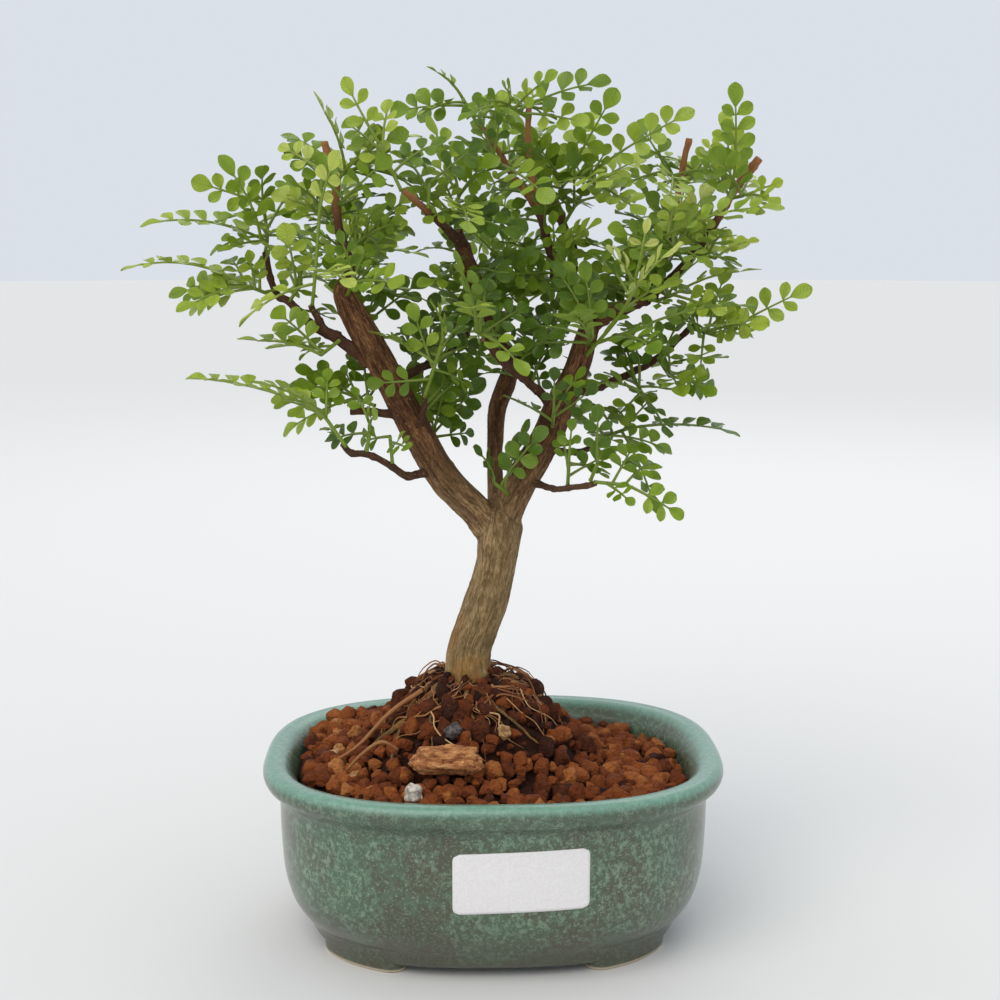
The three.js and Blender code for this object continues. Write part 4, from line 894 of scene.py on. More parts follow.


# %% [markdown]
# Bark colour follows the relief: furrows are coloured dark and ridges weather to pale grey
# brown. Near the ground it turns ochre with a little green, and the younger limbs above
# are redder. The same finish serves the twigs, which are darker, with tan tips high up.

# %% Bark finish
def bark_finish():
    look = Finish("grey_brown_bark")
    place = look.place()
    height = look.part(place, "Z") * 1000.0
    grain = look.vector("grain")
    depth = look.value("depth")
    strands = look.clouds(look.stretched(grain, (0.5, 3.2, 0.5)), 1.0, 4.0, 0.65)
    fibres = look.clouds(look.stretched(grain, (1.3, 8.0, 1.0)), 1.0, 2.0, 0.6)
    patches = look.clouds(place, 90.0, 3.0)
    ridge = strands * 0.62 + fibres * 0.3 + depth * 0.16
    old = look.ramp(ridge, [
        (0.36, seen(84, 58, 36)), (0.46, seen(136, 104, 70)), (0.56, seen(178, 144, 102)),
        (0.7, seen(224, 194, 148)),
    ])
    young = look.ramp(ridge, [
        (0.36, seen(52, 29, 15)), (0.47, seen(92, 57, 33)), (0.58, seen(126, 84, 52)),
        (0.72, seen(184, 138, 92)),
    ])
    slender = look.part(grain, "Z").between(2.6, 1.4)
    ochre = height.between(98.0, 74.0) * patches.between(0.4, 0.6) * 0.75
    green = height.between(160.0, 78.0) * patches.between(0.6, 0.44) * 0.3
    pale = look.cells(place, 620.0).between(0.2, 0.1) * patches.between(0.45, 0.55) * 0.45
    colour = look.coats(
        look.blend(height.between(104.0, 146.0), old, young), (slender * 0.7, seen(74, 47, 38)),
        (slender * height.between(198.0, 210.0) * 0.9, seen(190, 128, 80)), (ochre, seen(160, 114, 52)),
        (green, seen(118, 112, 62)), (pale, seen(200, 168, 122)), (look.value("cut"), seen(196, 150, 98)),
    )
    normal = look.relief(strands + fibres * 0.5, 0.0007)
    return look.done(look.surface(colour, 0.86, normal, {"Specular IOR Level": 0.3}))


bark = bark_finish()

# %% Trunk and limbs
FLUTES = ((3, 0.06, 0.7), (5, 0.045, 2.1), (8, 0.03, 0.4))
BAR_SIDES = 28
VOXEL = 0.42
SKIN_PASSES = 8
FORK_PASSES = 20
ABOVE_ROOTS = 80

# The cut end of the left limb tapers on for two stations, behind the leaves at its tip
LIMB_ENDS = {"left": [[-39.6, -9.2, 184.8, 2.3], [-38.9, -8.3, 187.6, 1.6]]}

thick_routes = [smooth_route(TRUNK, 1.0)]
thick_routes += [smooth_route(stations + LIMB_ENDS.get(name, []), 1.0) for name, stations in LIMBS.items()]


def shaken(route, size, seeds, reach, steps):
    """The route with a random wander that fades in over its first steps."""
    jitter = np.column_stack([layered(route[:, :3], size, seed) for seed in seeds])
    fade = np.clip(np.arange(len(route)) / steps, 0, 1)[:, None]
    return np.column_stack([route[:, :3] + reach * jitter * fade, route[:, 3]])


for root in ROOTS:
    route = shaken(smooth_route(root_stations(*root), 1.0), 6.0, (3, 7, 11), [1.3, 1.3, 0.5], 8)
    thick_routes.append(route * [1, 1, 1, 0.85])


def fluted(run, angle):
    return 1 + sum(size * np.cos(count * angle + start + 0.05 * run) for count, size, start in FLUTES)


raw = Shell()
for route in thick_routes:
    raw.add(*closed_bar(route, BAR_SIDES, fluted)[:2])
wood = raw.piece("trunk_and_limbs", bark, "bark", replaces=("tree",))
modify(wood, "REMESH", mode="VOXEL", voxel_size=VOXEL * MM)
modify(wood, "SMOOTH", iterations=SKIN_PASSES, factor=0.5)
keep_modified(wood)
above_roots = wood.vertex_groups.new(name="above_roots")
above_roots.add([v.index for v in wood.data.vertices if v.co.z > ABOVE_ROOTS * MM], 1.0, "REPLACE")
modify(wood, "SMOOTH", iterations=FORK_PASSES, factor=0.5, vertex_group="above_roots")
keep_modified(wood)
wood.vertex_groups.clear()
print("joined wood", len(wood.data.vertices), "points")

# %% [markdown]
# Each point of the joined skin looks up the nearest place on a limb's middle line. That
# gives it a distance along and round the limb, and noise that is long in the first and short
# in the second makes furrows that run with the grain.

# %% Bark relief
def along_wood(points, routes):
    """For each point: distance along, distance round and radius of the nearest limb."""
    centres = np.vstack(routes)
    axes, sides, others = map(np.vstack, zip(*(route_frames(route[:, :3]) for route in routes)))
    runs, offset = [], 0.0
    for route in routes:
        runs.append(offset + run_along(route[:, :3]))
        offset = runs[-1][-1] + 50
    runs = np.concatenate(runs)
    found = np.empty(len(points), int)
    for start in range(0, len(points), 4000):
        block = points[start:start + 4000]
        gap = np.linalg.norm(block[:, None] - centres[None, :, :3], axis=2) - centres[None, :, 3]
        found[start:start + 4000] = gap.argmin(axis=1)
    away = points - centres[found, :3]
    angle = np.arctan2((away * others[found]).sum(1), (away * sides[found]).sum(1))
    run = runs[found] + (away * axes[found]).sum(1)
    return run, angle, centres[found, 3]


def read(vertices, key):
    values = np.empty(len(vertices) * 3)
    vertices.foreach_get(key, values)
    return values.reshape(-1, 3)


local = (read(wood.data.vertices, "co") - POT_MIDDLE) / MM
normals = read(wood.data.vertices, "normal")
run, angle, radius = along_wood(local, thick_routes)
wrap = np.column_stack([np.cos(angle) * radius, np.sin(angle) * radius, run])
furrow = layered(wrap, [1.1, 1.1, 6.5], 31)
plates = layered(wrap, [3.2, 3.2, 7.0], 57, 2)
warts = np.clip(rough(wrap, [1.9, 1.9, 2.6], 73) - 0.45, 0, 1)
share = np.clip(radius / 5.0, 0.25, 1.0)
lift = share * (0.24 * -np.abs(furrow) + 0.2 * plates + 0.5 * warts + 0.1)
moved = local + normals * lift[:, None]
wood.data.vertices.foreach_set("co", in_frame(moved).ravel())
give(wood.data, "grain", np.column_stack([run, angle * radius, radius]))
give(wood.data, "depth", np.clip(0.75 - 1.3 * np.abs(furrow) + 0.35 * plates, 0, 1))
give(wood.data, "cut", np.zeros(len(local)))
wood.data.polygons.foreach_set("use_smooth", [True] * len(wood.data.polygons))
wood.data.update()
print("bark relief from", lift.min().round(2), "to", lift.max().round(2), "mm")

# %% [markdown]
# Twigs are too thin for the remesh, so they stay bars that start inside their limb. They
# swell at each node, thin out towards their end and show pale wood at the cut.

# %% Twigs
TWIG_SIDES = 12
twigs = Shell()
for number, stations in enumerate(TWIGS.values()):
    route = shaken(smooth_route(stations, 0.8), 5.0, [seed + number for seed in (5, 25, 45)], 0.3, 6)
    run = run_along(route[:, :3])
    knots = np.exp(-(((run + 2.2 * number) % 6.5 - 3.2) / 0.7) ** 2)
    route[:, 3] *= 1 + 0.22 * knots + 0.35 * np.exp(-run / 1.6) + 0.05 * rough(route[:, :3] * 2, 1, 9)
    depth = np.repeat(0.55 + 0.25 * rough(route[:, :3], 1.2, 8), TWIG_SIDES)
    is_end = np.zeros(len(depth) + 2)
    is_end[-1] = 1.0
    add_bar(twigs, route, TWIG_SIDES, depth=np.concatenate([depth, [0.5, 0.5]]), cut=is_end)
twigs.piece("twigs", bark, "bark")

# %% [markdown]
# Fine roots spread over the mound like loose thread. Each one walks outwards from the trunk
# over the ground, wandering a little, and some arch clear of it.

# %% Fine roots
def root_finish():
    look = Finish("fine_root")
    grain = look.vector("grain")
    strands = look.clouds(look.stretched(grain, (0.6, 2.0, 1.0)), 1.0, 3.0)
    colour = look.ramp(look.value("tone") + (strands - 0.5) * 0.4, [
        (0.0, seen(66, 34, 20)), (0.4, seen(120, 72, 38)), (0.75, seen(172, 118, 66)),
        (1.0, seen(216, 184, 138)),
    ])
    return look.done(look.surface(colour, 0.75, look.relief(strands, 0.0004)))


root_wood = root_finish()
FINE_ROOTS = 84
SURFACE_ROOTS = [
    [[-40.6, -22, 52.4, 0.4], [-36.5, -24, 57.4, 0.5], [-31, -24.5, 61.2, 0.5], [-26.4, -23, 58.4, 0.4]],
    [[-47, -12, 50.6, 0.35], [-38, -14, 56.8, 0.5], [-29, -12, 65.8, 0.6], [-20, -7, 70.8, 0.7]],
]
root_draws = np.random.default_rng(88)
threads = Shell()
for k in range(FINE_ROOTS):
    turn = root_draws.uniform(math.pi, 2 * math.pi) if k % 4 else root_draws.uniform(0, math.pi)
    start, reach = root_draws.uniform(3, 17), root_draws.uniform(4, 15)
    arch = root_draws.uniform(0, 3.2) if k % 4 == 0 else 0.0
    thick = root_draws.uniform(0.12, 0.4)
    bend = root_draws.uniform(-0.16, 0.16)
    stations = []
    for part in np.linspace(0, 1, 7):
        turn += bend + root_draws.uniform(-0.16, 0.16)
        out = start + reach * part
        x, y = TRUNK_FOOT[0] + out * math.cos(turn), TRUNK_FOOT[1] + out * math.sin(turn)
        if not inside_pot(x, y, 0.8):
            break
        z = float(ground(x, y)) + 1.0 + 1.2 * mound_share(x, y) + arch * math.sin(math.pi * part)
        z -= 2.4 if part in (0, 1) else 0
        stations.append([x, y, z, thick * (1 - 0.5 * part)])
    if len(stations) > 2:
        add_bar(threads, smooth_route(stations, 1.1), 6, tone=root_draws.uniform(0.15, 0.9))
for stations in SURFACE_ROOTS:
    add_bar(threads, smooth_route(stations, 0.8), 9, tone=0.6)
threads.piece("fine_roots", root_wood, "bark")

# %% [markdown]
# ## Loose pieces
# A flake of bark and three pebbles lie on the ground. Each is a ball with the lumps of its
# solid and more points, stretched to its own size. The flake has blunt ends, ridges along
# its length and cracks across it.

# %% Stones and flake
def stone_finish(name, dark, light):
    look = Finish(name)
    place = look.place()
    speck = look.clouds(place, 700.0, 5.0, 0.7)
    holes = look.cells(place, 980.0)
    colour = look.blend(speck.between(0.35, 0.62), dark, light)
    return look.done(look.surface(colour, 0.9, look.relief(speck + holes * 0.5, 0.0006)))


def flake_finish():
    look = Finish("bark_flake")
    place = look.place()
    fibre = look.clouds(look.stretched(place, (420.0, 800.0, 900.0)), 1.0, 5.0, 0.7)
    colour = look.ramp(fibre, [
        (0.3, seen(88, 44, 22)), (0.43, seen(152, 90, 46)), (0.57, seen(200, 138, 84)),
        (0.74, seen(232, 186, 136)),
    ])
    return look.done(look.surface(colour, 0.88, look.relief(fibre, 0.0012)))


LOOSE_PIECES = {
    "bark_chip": {"at": [-13, -30, 57.6], "size": [9.2, 4, 3.6], "turn": -0.06, "seed": 1.3},
    "pumice_pebble": {"at": [-22, -38, 51], "size": [2.5, 2.2, 3], "turn": 0.4, "seed": 2.1},
    "grey_pebble": {"at": [-11.1, -20.6, 62.9], "size": [2.6, 2.2, 2.2], "turn": 0.2, "seed": 3.7},
    "tan_pebble": {"at": [2.5, -20, 62.2], "size": [2.1, 2, 2], "turn": 1.1, "seed": 4.4},
}
LOOSE_LOOKS = {
    "bark_chip": ("flake", flake_finish()),
    "pumice_pebble": ("pumice", stone_finish("pale_pumice", seen(160, 146, 132), seen(222, 212, 200))),
    "grey_pebble": ("grey_stone", stone_finish("grey_stone", seen(52, 47, 46), seen(108, 98, 94))),
    "tan_pebble": ("tan_stone", stone_finish("tan_stone", seen(120, 84, 46), seen(188, 152, 100))),
}


def lumped(points, piece, is_flake):
    """The same swell as the solid has, so that the fine piece keeps its place and outline."""
    x, y, z = points.T
    seed = piece["seed"]
    swell = 0.13 * np.sin(5 * x + seed) * np.cos(4 * y - seed) + 0.08 * np.sin(7 * z + 2 * seed)
    shaped = points * (1 + swell)[:, None] * piece["size"]
    if is_flake:
        shaped[:, 1:] *= np.sqrt(1 + x ** 2 + x ** 4 + x ** 6)[:, None]
        ridges = layered(shaped, [3.4, 1.1, 1.0], 12)
        cracks = np.clip(rough(shaped, [0.9, 3.5, 3.5], 4) - 0.35, 0, 1)
        shaped = shaped * (1 + 0.07 * ridges - 0.22 * cracks)[:, None]
    else:
        shaped = shaped * (1 + 0.06 * layered(shaped, 0.9, 4))[:, None]
    c, s = math.cos(piece["turn"]), math.sin(piece["turn"])
    return shaped @ np.array([[c, s, 0], [-s, c, 0], [0, 0, 1]]) + piece["at"]


for name, piece in LOOSE_PIECES.items():
    is_flake = name == "bark_chip"
    points, faces = ball(6 if is_flake else 4)
    slot, finish = LOOSE_LOOKS[name]
    stone = Shell()
    stone.add(lumped(points, piece, is_flake), faces)
    stone.piece(f"loose_{name}", finish, slot, replaces=(name,))

# %% [markdown]
# ## The label
# A small paper label is stuck on the front wall. It is left blank. Its sheet follows the
# curve of the wall, and its corners are round.

# %% Label
LABEL_WIDTH, LABEL_HEIGHT = 36, 16.8
LABEL_X, LABEL_Z = 6.2, 30.8
LABEL_TILT = 0.03
LABEL_CORNER = 1.8
LABEL_LIFT = 0.02
LABEL_SHEET = 0.22
LABEL_ROWS, LABEL_COLUMNS = 25, 49


def wall_front(x, z):
    inset = np.interp(z, outer_curve[:, 1], outer_curve[:, 0])
    a, b = POT_WIDTH / 2 - inset, POT_DEPTH / 2 - inset
    return -b * (1 - np.abs(x / a) ** POT_SQUARENESS) ** (1 / POT_SQUARENESS)


def paper_finish():
    look = Finish("label_paper")
    fibre = look.clouds(look.place(), 1600.0, 4.0, 0.7)
    colour = look.blend(fibre.between(0.3, 0.7), seen(224, 220, 219), seen(236, 233, 232))
    return look.done(look.surface(colour, 0.55, look.relief(fibre, 0.00006)))


sheets = []
for lift in (LABEL_LIFT + LABEL_SHEET, LABEL_LIFT):
    for up in np.linspace(-1, 1, LABEL_ROWS):
        over = max(0.0, abs(up) * LABEL_HEIGHT / 2 - (LABEL_HEIGHT / 2 - LABEL_CORNER))
        pull = LABEL_CORNER - math.sqrt(max(0.0, LABEL_CORNER ** 2 - over ** 2))
        across = np.linspace(-1, 1, LABEL_COLUMNS) * (LABEL_WIDTH / 2 - pull)
        x = LABEL_X + across
        z = LABEL_Z + up * LABEL_HEIGHT / 2 + LABEL_TILT * across
        sheets.append(np.column_stack([x, wall_front(x, z) - lift, z]))
count = LABEL_ROWS * LABEL_COLUMNS
label_faces = quilt(LABEL_ROWS, LABEL_COLUMNS)
label_faces += [tuple(i + count for i in face[::-1]) for face in quilt(LABEL_ROWS, LABEL_COLUMNS)]
border = [*range(LABEL_COLUMNS), *range(2 * LABEL_COLUMNS - 1, count, LABEL_COLUMNS)]
border += [*range(count - 2, count - LABEL_COLUMNS - 1, -1)]
border += [*range(count - 2 * LABEL_COLUMNS, 0, -LABEL_COLUMNS)]
for a, b in zip(border, border[1:] + border[:1]):
    label_faces.append((b, a, a + count, b + count))
label = Shell()
label.add(np.vstack(sheets), label_faces)
label.piece("blank_label", paper_finish(), "paper", replaces=("label",))

# %% [markdown]
# ## Foliage
# A shoot is a green stem with a few fronds, and a frond is a rib with pairs of leaflets and
# one at its tip. The shoots below are those of the solids: name, stem points, and for each
# frond how far up the stem it starts, its tip, how many pairs the solid has, and its facing
# (0 lies level, 1 shows its upper face to the front, -1 to the back).

# %% Shoots
SHOOTS = [
    ["left_tip", [[-62, 4, 195], [-62, 5, 197], [-63, 6, 206]],
     [[1, [-82, 2, 212], 2, 0.75], [0.3, [-96, -2, 200], 3, 0.2], [0.5, [-74, -12, 192], 2, 0.4]]],
    ["left_outer", [[-55, -4, 180], [-52, -9, 187], [-62, -11, 196]],
     [[1, [-85, -14, 209], 3, 0.7], [0.3, [-50, -24, 198], 1, 0.8]]],
    ["left_low_edge", [[-59, -1, 181], [-67, -6, 184]],
     [[1, [-100, -10, 188], 3, 0.25], [0.3, [-78, 14, 180], 2, 0.3]]],
    ["left_young_rod", [[-48, -18, 180], [-47, -20, 188], [-45, -16, 214]],
     [[1, [-57, -10, 221], 1, 0.6], [0.75, [-40, -24, 219], 1, 0.5], [0.3, [-67, -24, 174], 2, 0.25],
      [0.5, [-36, -44, 185], 2, 0.4]]],
    ["left_side_pair", [[-42, -14, 169], [-46, -18, 166]],
     [[1, [-68, -20, 169], 2, 0.3], [0.75, [-65, 2, 172], 2, 0.3]]],
    ["low_left_end", [[-40, -25, 143], [-46, -25, 152]],
     [[1, [-82, -18, 160], 3, 0.5], [0.75, [-62, -38, 161], 2, 0.35]]],
    ["low_left_mid", [[-34, -20, 141], [-33, -20, 147]],
     [[1, [-38, -14, 157], 1, 0.85], [0.75, [-30, -36, 153], 1, 0.7]]],
    ["low_left_in", [[-28, -17, 137], [-28, -17, 144]],
     [[1, [-36, -6, 141], 1, 0.7], [0.75, [-22, -30, 142], 1, 0.8]]],
    ["stub_left", [[-33, -6, 150], [-38, -3, 153]],
     [[1, [-59, 4, 142], 2, 0.35], [0.75, [-54, -14, 157], 2, 0.6], [0.5, [-38, -2, 164], 1, 0.9]]],
    ["limb_top", [[-39, -13, 182], [-37, -20, 186]],
     [[1, [-40, -26, 198], 1, 0.8], [0.75, [-25, -36, 191], 2, 0.4]]],
    ["rise_low", [[-39, -8, 194], [-33, -8, 198]],
     [[1, [-23, 2, 205], 2, 0.6], [0.75, [-35, -30, 207], 2, 0.5]]],
    ["rise_left", [[-43, -6, 201], [-45, 0, 203]],
     [[1, [-65, 22, 200], 2, 0.5], [0.75, [-60, -2, 208], 2, 0.85]]],
    ["rise_high", [[-42, -5, 212], [-39, -2, 216]],
     [[1, [-19, 8, 224], 2, 0.3], [0.5, [-55, 14, 216], 2, 0.4]]],
    ["rise_front", [[-40, -10, 206], [-38, -16, 208]],
     [[1, [-26, -30, 217], 1, 0.9]]],
    ["arm_tip", [[-25, -18, 210], [-30, -18, 221]],
     [[1, [-39, -16, 238], 2, 0.95], [0.3, [-39, -38, 212], 2, 0.6]]],
    ["arm_mid", [[-18, -13, 205], [-17, -14, 211]],
     [[1, [-3, -8, 222], 2, 0.8], [0.5, [-26, 6, 220], 2, 0.6]]],
    ["arm_low", [[-12, -6, 202], [-9, -3, 208]],
     [[1, [2, -6, 218], 2, 0.6], [0.5, [-7, -40, 198], 2, 0.4]]],
    ["tan_tip", [[-5, 13, 229], [-8, 13, 235]],
     [[1, [-18, 10, 243], 1, 0.2]]],
    ["tan_mid", [[3, 6, 215], [0, 0, 218]],
     [[1, [2, 0, 230], 1, 0.9], [0.75, [-11, 20, 216], 2, 0.5], [0.5, [7, -22, 205], 1, 0.5]]],
    ["top_stub", [[9, -1, 229], [4, -4, 232]],
     [[1, [-5, -12, 232], 1, 0.6], [0.75, [16, 18, 227], 1, 0.5]]],
    ["top_right_a", [[15, 17, 215], [16, 15, 221]],
     [[1, [23, 10, 245], 3, 0.95], [0.5, [3, 34, 221], 2, 0.5]]],
    ["top_right_b", [[19, 17, 207], [21, 14, 213]],
     [[1, [35, 8, 237], 3, 0.9], [0.5, [31, -16, 209], 2, 0.6]]],
    ["top_right_c", [[21, 15, 201], [30, 14, 216]],
     [[1, [53, 6, 235], 2, 0.7], [0.75, [51, 0, 218], 2, 0.5], [0.5, [45, 38, 219], 2, 0.6]]],
    ["right_stub", [[54, 18, 212], [49, 15, 215]],
     [[1, [36, 10, 210], 1, 0.7], [0.75, [45, -24, 205], 2, 0.6]]],
    ["right_stub_out", [[55, 20, 211], [59, 22, 215]],
     [[1, [66, 26, 225], 1, 0.6], [0.75, [74, 44, 218], 2, 0.5]]],
    ["right_top", [[65, 6, 205], [66, 0, 211]],
     [[1, [65, -4, 238], 3, 0.95], [0.5, [58, 8, 218], 1, 0.5]]],
    ["right_arch", [[54, 5, 190], [46, -10, 197]],
     [[1, [74, -16, 214], 3, 0.4], [0.5, [33, -24, 198], 2, 0.5]]],
    ["right_cut", [[67, 8, 208], [69, 2, 208]],
     [[1, [79, -4, 212], 1, 0.9], [0.75, [77, 24, 203], 2, 0.4]]],
    ["right_under", [[58, 8, 192], [62, 3, 191]],
     [[1, [74, 2, 196], 1, 0.4], [0.75, [70, 24, 187], 2, 0.5]]],
    ["right_reach", [[46, 5, 180], [50, 0, 181]],
     [[1, [74, -4, 187], 3, 0.25], [0.5, [62, 28, 178], 2, 0.5]]],
    ["right_low_reach", [[28, -12, 168], [39, -18, 173]],
     [[1, [69, -24, 179], 2, 0.2], [0.5, [42, -40, 167], 2, 0.6]]],
    ["bright_shoot", [[26, -12, 166], [34, -27, 179], [37, -31, 190]],
     [[1, [39, -33, 202], 1, 0.55], [0.75, [26, -42, 194], 1, 0.45], [0.5, [45, -44, 195], 1, 0.45]]],
    ["right_end", [[57, 13, 171], [64, 10, 169]],
     [[1, [89, 2, 183], 3, 0.85], [0.5, [58, 2, 157], 2, 0.9]]],
    ["right_droop", [[48, 10, 162], [50, 5, 158]],
     [[1, [65, -2, 150], 2, 0.4], [0.75, [51, -16, 155], 2, 0.8]]],
    ["right_inner", [[41, 4, 157], [42, -3, 153]],
     [[1, [54, -14, 151], 2, 0.5], [0.75, [35, 14, 147], 2, 0.8]]],
    ["low_right_b", [[31, 14, 139], [39, 8, 143]],
     [[1, [70, 2, 142], 3, 0.35], [0.75, [58, -10, 139], 2, 0.5], [0.3, [53, 22, 134], 2, 0.5]]],
    ["low_right_end", [[28, -26, 133], [35, -27, 132]],
     [[1, [50, -27, 123], 2, 0.6], [0.3, [36, -36, 128], 1, 0.8], [0.5, [38, -14, 141], 2, 0.9]]],
    ["low_right_up", [[26, -24, 133], [27, -28, 138]],
     [[1, [27, -30, 154], 2, 0.9]]],
    ["low_right_in", [[20, -17, 131], [20, -20, 137]],
     [[1, [21, -20, 149], 1, 0.8]]],
    ["front_limb", [[16, -12, 146], [16, -17, 150]],
     [[1, [16, -20, 163], 1, 0.9]]],
    ["front_dark", [[26, -16, 168], [26, -22, 171]],
     [[1, [23, -24, 191], 2, 0.9], [0.75, [16, -48, 178], 2, 0.3]]],
    ["limb_twig_top", [[-18, -18, 156], [-14, -24, 169]],
     [[1, [-17, -36, 181], 2, 0.5], [0.5, [-6, -12, 156], 1, 0.4], [0.3, [-28, -6, 160], 2, 0.6]]],
    ["cross_left", [[-6, 24, 170], [-4, 29, 174]],
     [[1, [6, 36, 187], 2, 0.5], [0.75, [-16, 44, 178], 2, 0.5], [0.5, [-2, 54, 162], 2, 0.4]]],
    ["front_fan", [[-3, -24, 172], [-5, -32, 173]],
     [[1, [-7, -62, 179], 2, 0.15], [0.75, [-26, -40, 174], 2, 0.2], [0.5, [8, -40, 162], 2, 0.35]]],
    ["fork_low", [[3, -9, 127], [0, -16, 131]],
     [[1, [-6, -24, 142], 1, 0.5]]],
    ["limb_back_low", [[-18, -2, 143], [-16, 6, 141]],
     [[1, [-5, 16, 141], 1, 0.8]]],
    ["back_left", [[-42, 32, 188], [-43, 37, 192]],
     [[1, [-64, 52, 196], 2, -0.4], [0.75, [-36, 64, 203], 2, -0.6], [0.5, [-18, 46, 190], 2, 0]]],
    ["back_middle", [[5, 48, 186], [4, 53, 191]],
     [[1, [-16, 64, 198], 2, -0.5], [0.75, [22, 66, 196], 2, -0.5], [0.5, [2, 60, 214], 2, -0.9]]],
    ["back_right", [[55, 40, 192], [58, 44, 196]],
     [[1, [78, 52, 202], 2, -0.4], [0.75, [46, 66, 198], 2, -0.6], [0.5, [62, 46, 219], 2, -0.8]]],
    ["back_top", [[7, 38, 214], [5, 41, 219]],
     [[1, [-16, 50, 222], 2, -0.3], [0.75, [20, 58, 224], 2, -0.6], [0.5, [4, 44, 240], 2, -0.9]]],
]

# %% [markdown]
# The solids' fronds were bent aside until each stood clear of wood, stems and other fronds.
# The same rule with the same draws in the same order is repeated here, so each fine frond
# takes exactly the place of its plain solid.

# %% Placing rules
GAP = 0.35
STEM_RADIUS = 0.75
LEAFLET_LENGTH = 8.2
LEAFLET_SWEEP = 1.15
LEAF_FOLD = 0.16
LEAF_SEED = 13
CLEAR_OF_WOOD = 2
CLEAR_NEAR_SEAT = 0.9
NEAR_SEAT = 7
CLEAR_OF_STEMS = 2.3
CLEAR_OF_LEAVES = 3.4
CLEAR_OF_SISTERS = 2
TRIES = 60
TRY_SPREAD = 0.022
FILL_SEED = 24
FILL_COUNT = 13
FILL_CHOICES = 120
FILL_PAIRS = 2
FILL_LENGTH = 24
FILL_LENGTH_SPREAD = 6
FILL_LOWEST = -0.35
CROWN_DEPTH = 52
CROWN_OUTLINE = np.array([
    [-98, 186, 196], [-85, 172, 210], [-70, 150, 222], [-45, 138, 240], [-25, 146, 233],
    [0, 154, 238], [15, 142, 243], [30, 128, 242], [50, 124, 238], [68, 136, 238],
    [80, 160, 210], [90, 180, 187],
])


def draws_from(seed):
    state = seed
    while True:
        state = (state * 1664525 + 1013904223) % 2 ** 32
        yield 2 * state / 2 ** 32 - 1


class Bars:
    """Straight tapering bars, asked together which of them is nearest to a point."""

    def __init__(self, rows):
        self.a = np.array([row[0] for row in rows], float)
        self.b = np.array([row[1] for row in rows], float)
        self.ra = np.array([row[2] for row in rows], float)
        self.rb = np.array([row[3] for row in rows], float)
        self.mark = np.array([row[4] for row in rows])

    def distances(self, points):
        run = self.b - self.a
        part = ((points[:, None] - self.a) * run).sum(2) / (run * run).sum(1)
        part = np.clip(part, 0, 1)
        at = self.a + part[..., None] * run
        radius = self.ra + (self.rb - self.ra) * part
        return np.linalg.norm(points[:, None] - at, axis=2) - radius, at, radius, part


wood_rows = []
for stations in [TRUNK, *LIMBS.values(), *TWIGS.values()]:
    for i, (a, b) in enumerate(zip(stations, stations[1:])):
        wood_rows.append((a[:3], b[:3], a[3], b[3], i == len(stations) - 2))
wood_bars = Bars(wood_rows)


def seated_stem(points):
    """The stem's first point is moved onto the bark, with the gap that two solids keep."""
    stem = np.array(points, float)
    distance, at, radius, part = (value[0] for value in wood_bars.distances(stem[:1]))
    k = int(distance.argmin())
    outward = unit(stem[0] - at[k])
    along = unit(stem[1] - at[k])
    slant = math.sqrt(max(0.0, 1 - float(along @ outward) ** 2))
    reach = radius[k]
    if wood_bars.mark[k] and part[k] == 1:
        way = unit(wood_bars.b[k] - wood_bars.a[k])
        reach *= math.sin(math.acos(float(np.clip(outward @ way, -1, 1))))
    stem[0] = at[k] + outward * (reach + GAP + STEM_RADIUS * slant)
    return stem


def along_stem(stem, part):
    place = part * (len(stem) - 1)
    i = min(int(place), len(stem) - 2)
    return stem[i] + (stem[i + 1] - stem[i]) * (place - i)


def spun(vector, axis, angle):
    c, s = math.cos(angle), math.sin(angle)
    return vector * c + np.cross(axis, vector) * s + axis * (axis @ vector) * (1 - c)


class Rib:
    """A frond's middle line: it arches over its chord, with a side and an upper direction."""

    def __init__(self, base, tip, facing, roll, arch):
        self.base = base
        self.length = float(np.linalg.norm(tip - base))
        self.along = (tip - base) / self.length
        wanted = np.array([0, -facing, 1 - abs(facing)], float)
        self.upper = spun(unit(wanted - self.along * (wanted @ self.along)), self.along, roll)
        self.side = np.cross(self.upper, self.along)
        self.arch = arch * self.length

    def point(self, up, out=0.0):
        part = up / self.length
        return (self.base + self.along * up + self.upper * (4 * self.arch * part * (1 - part))
                + self.side * out + self.normal(up) * (LEAF_FOLD * abs(out)))

    def slope(self, up):
        return 4 * self.arch * (1 - 2 * up / self.length) / self.length

    def normal(self, up):
        return unit(self.upper - self.along * self.slope(up))

    def way(self, up):
        return unit(self.along + self.upper * self.slope(up))


def leaflet_sizes(length):
    """The length of a frond's side leaflets and of the one at its tip."""
    size = min(LEAFLET_LENGTH, 0.3 * length + 1.5)
    return size, min(1.2 * size, 0.45 * length)


def petiole(length):
    return min(4, 0.16 * length)


def pair_places(length, terminal, pairs):
    room = length - terminal - petiole(length)
    return [petiole(length) + room * (i + 0.75) / (pairs + 0.25) for i in range(pairs)]


def rib_samples(rib, pairs):
    size, terminal = leaflet_sizes(rib.length)
    samples = [rib.point(part * rib.length) for part in (0.2, 0.4, 0.6, 0.8, 0.9, 1)]
    for station in pair_places(rib.length, terminal, pairs):
        for side, part in product((-1, 1), (0.4, 0.75, 1.05)):
            up = station + part * size * math.cos(LEAFLET_SWEEP)
            samples.append(rib.point(up, side * part * size * math.sin(LEAFLET_SWEEP)))
    return np.array(samples)


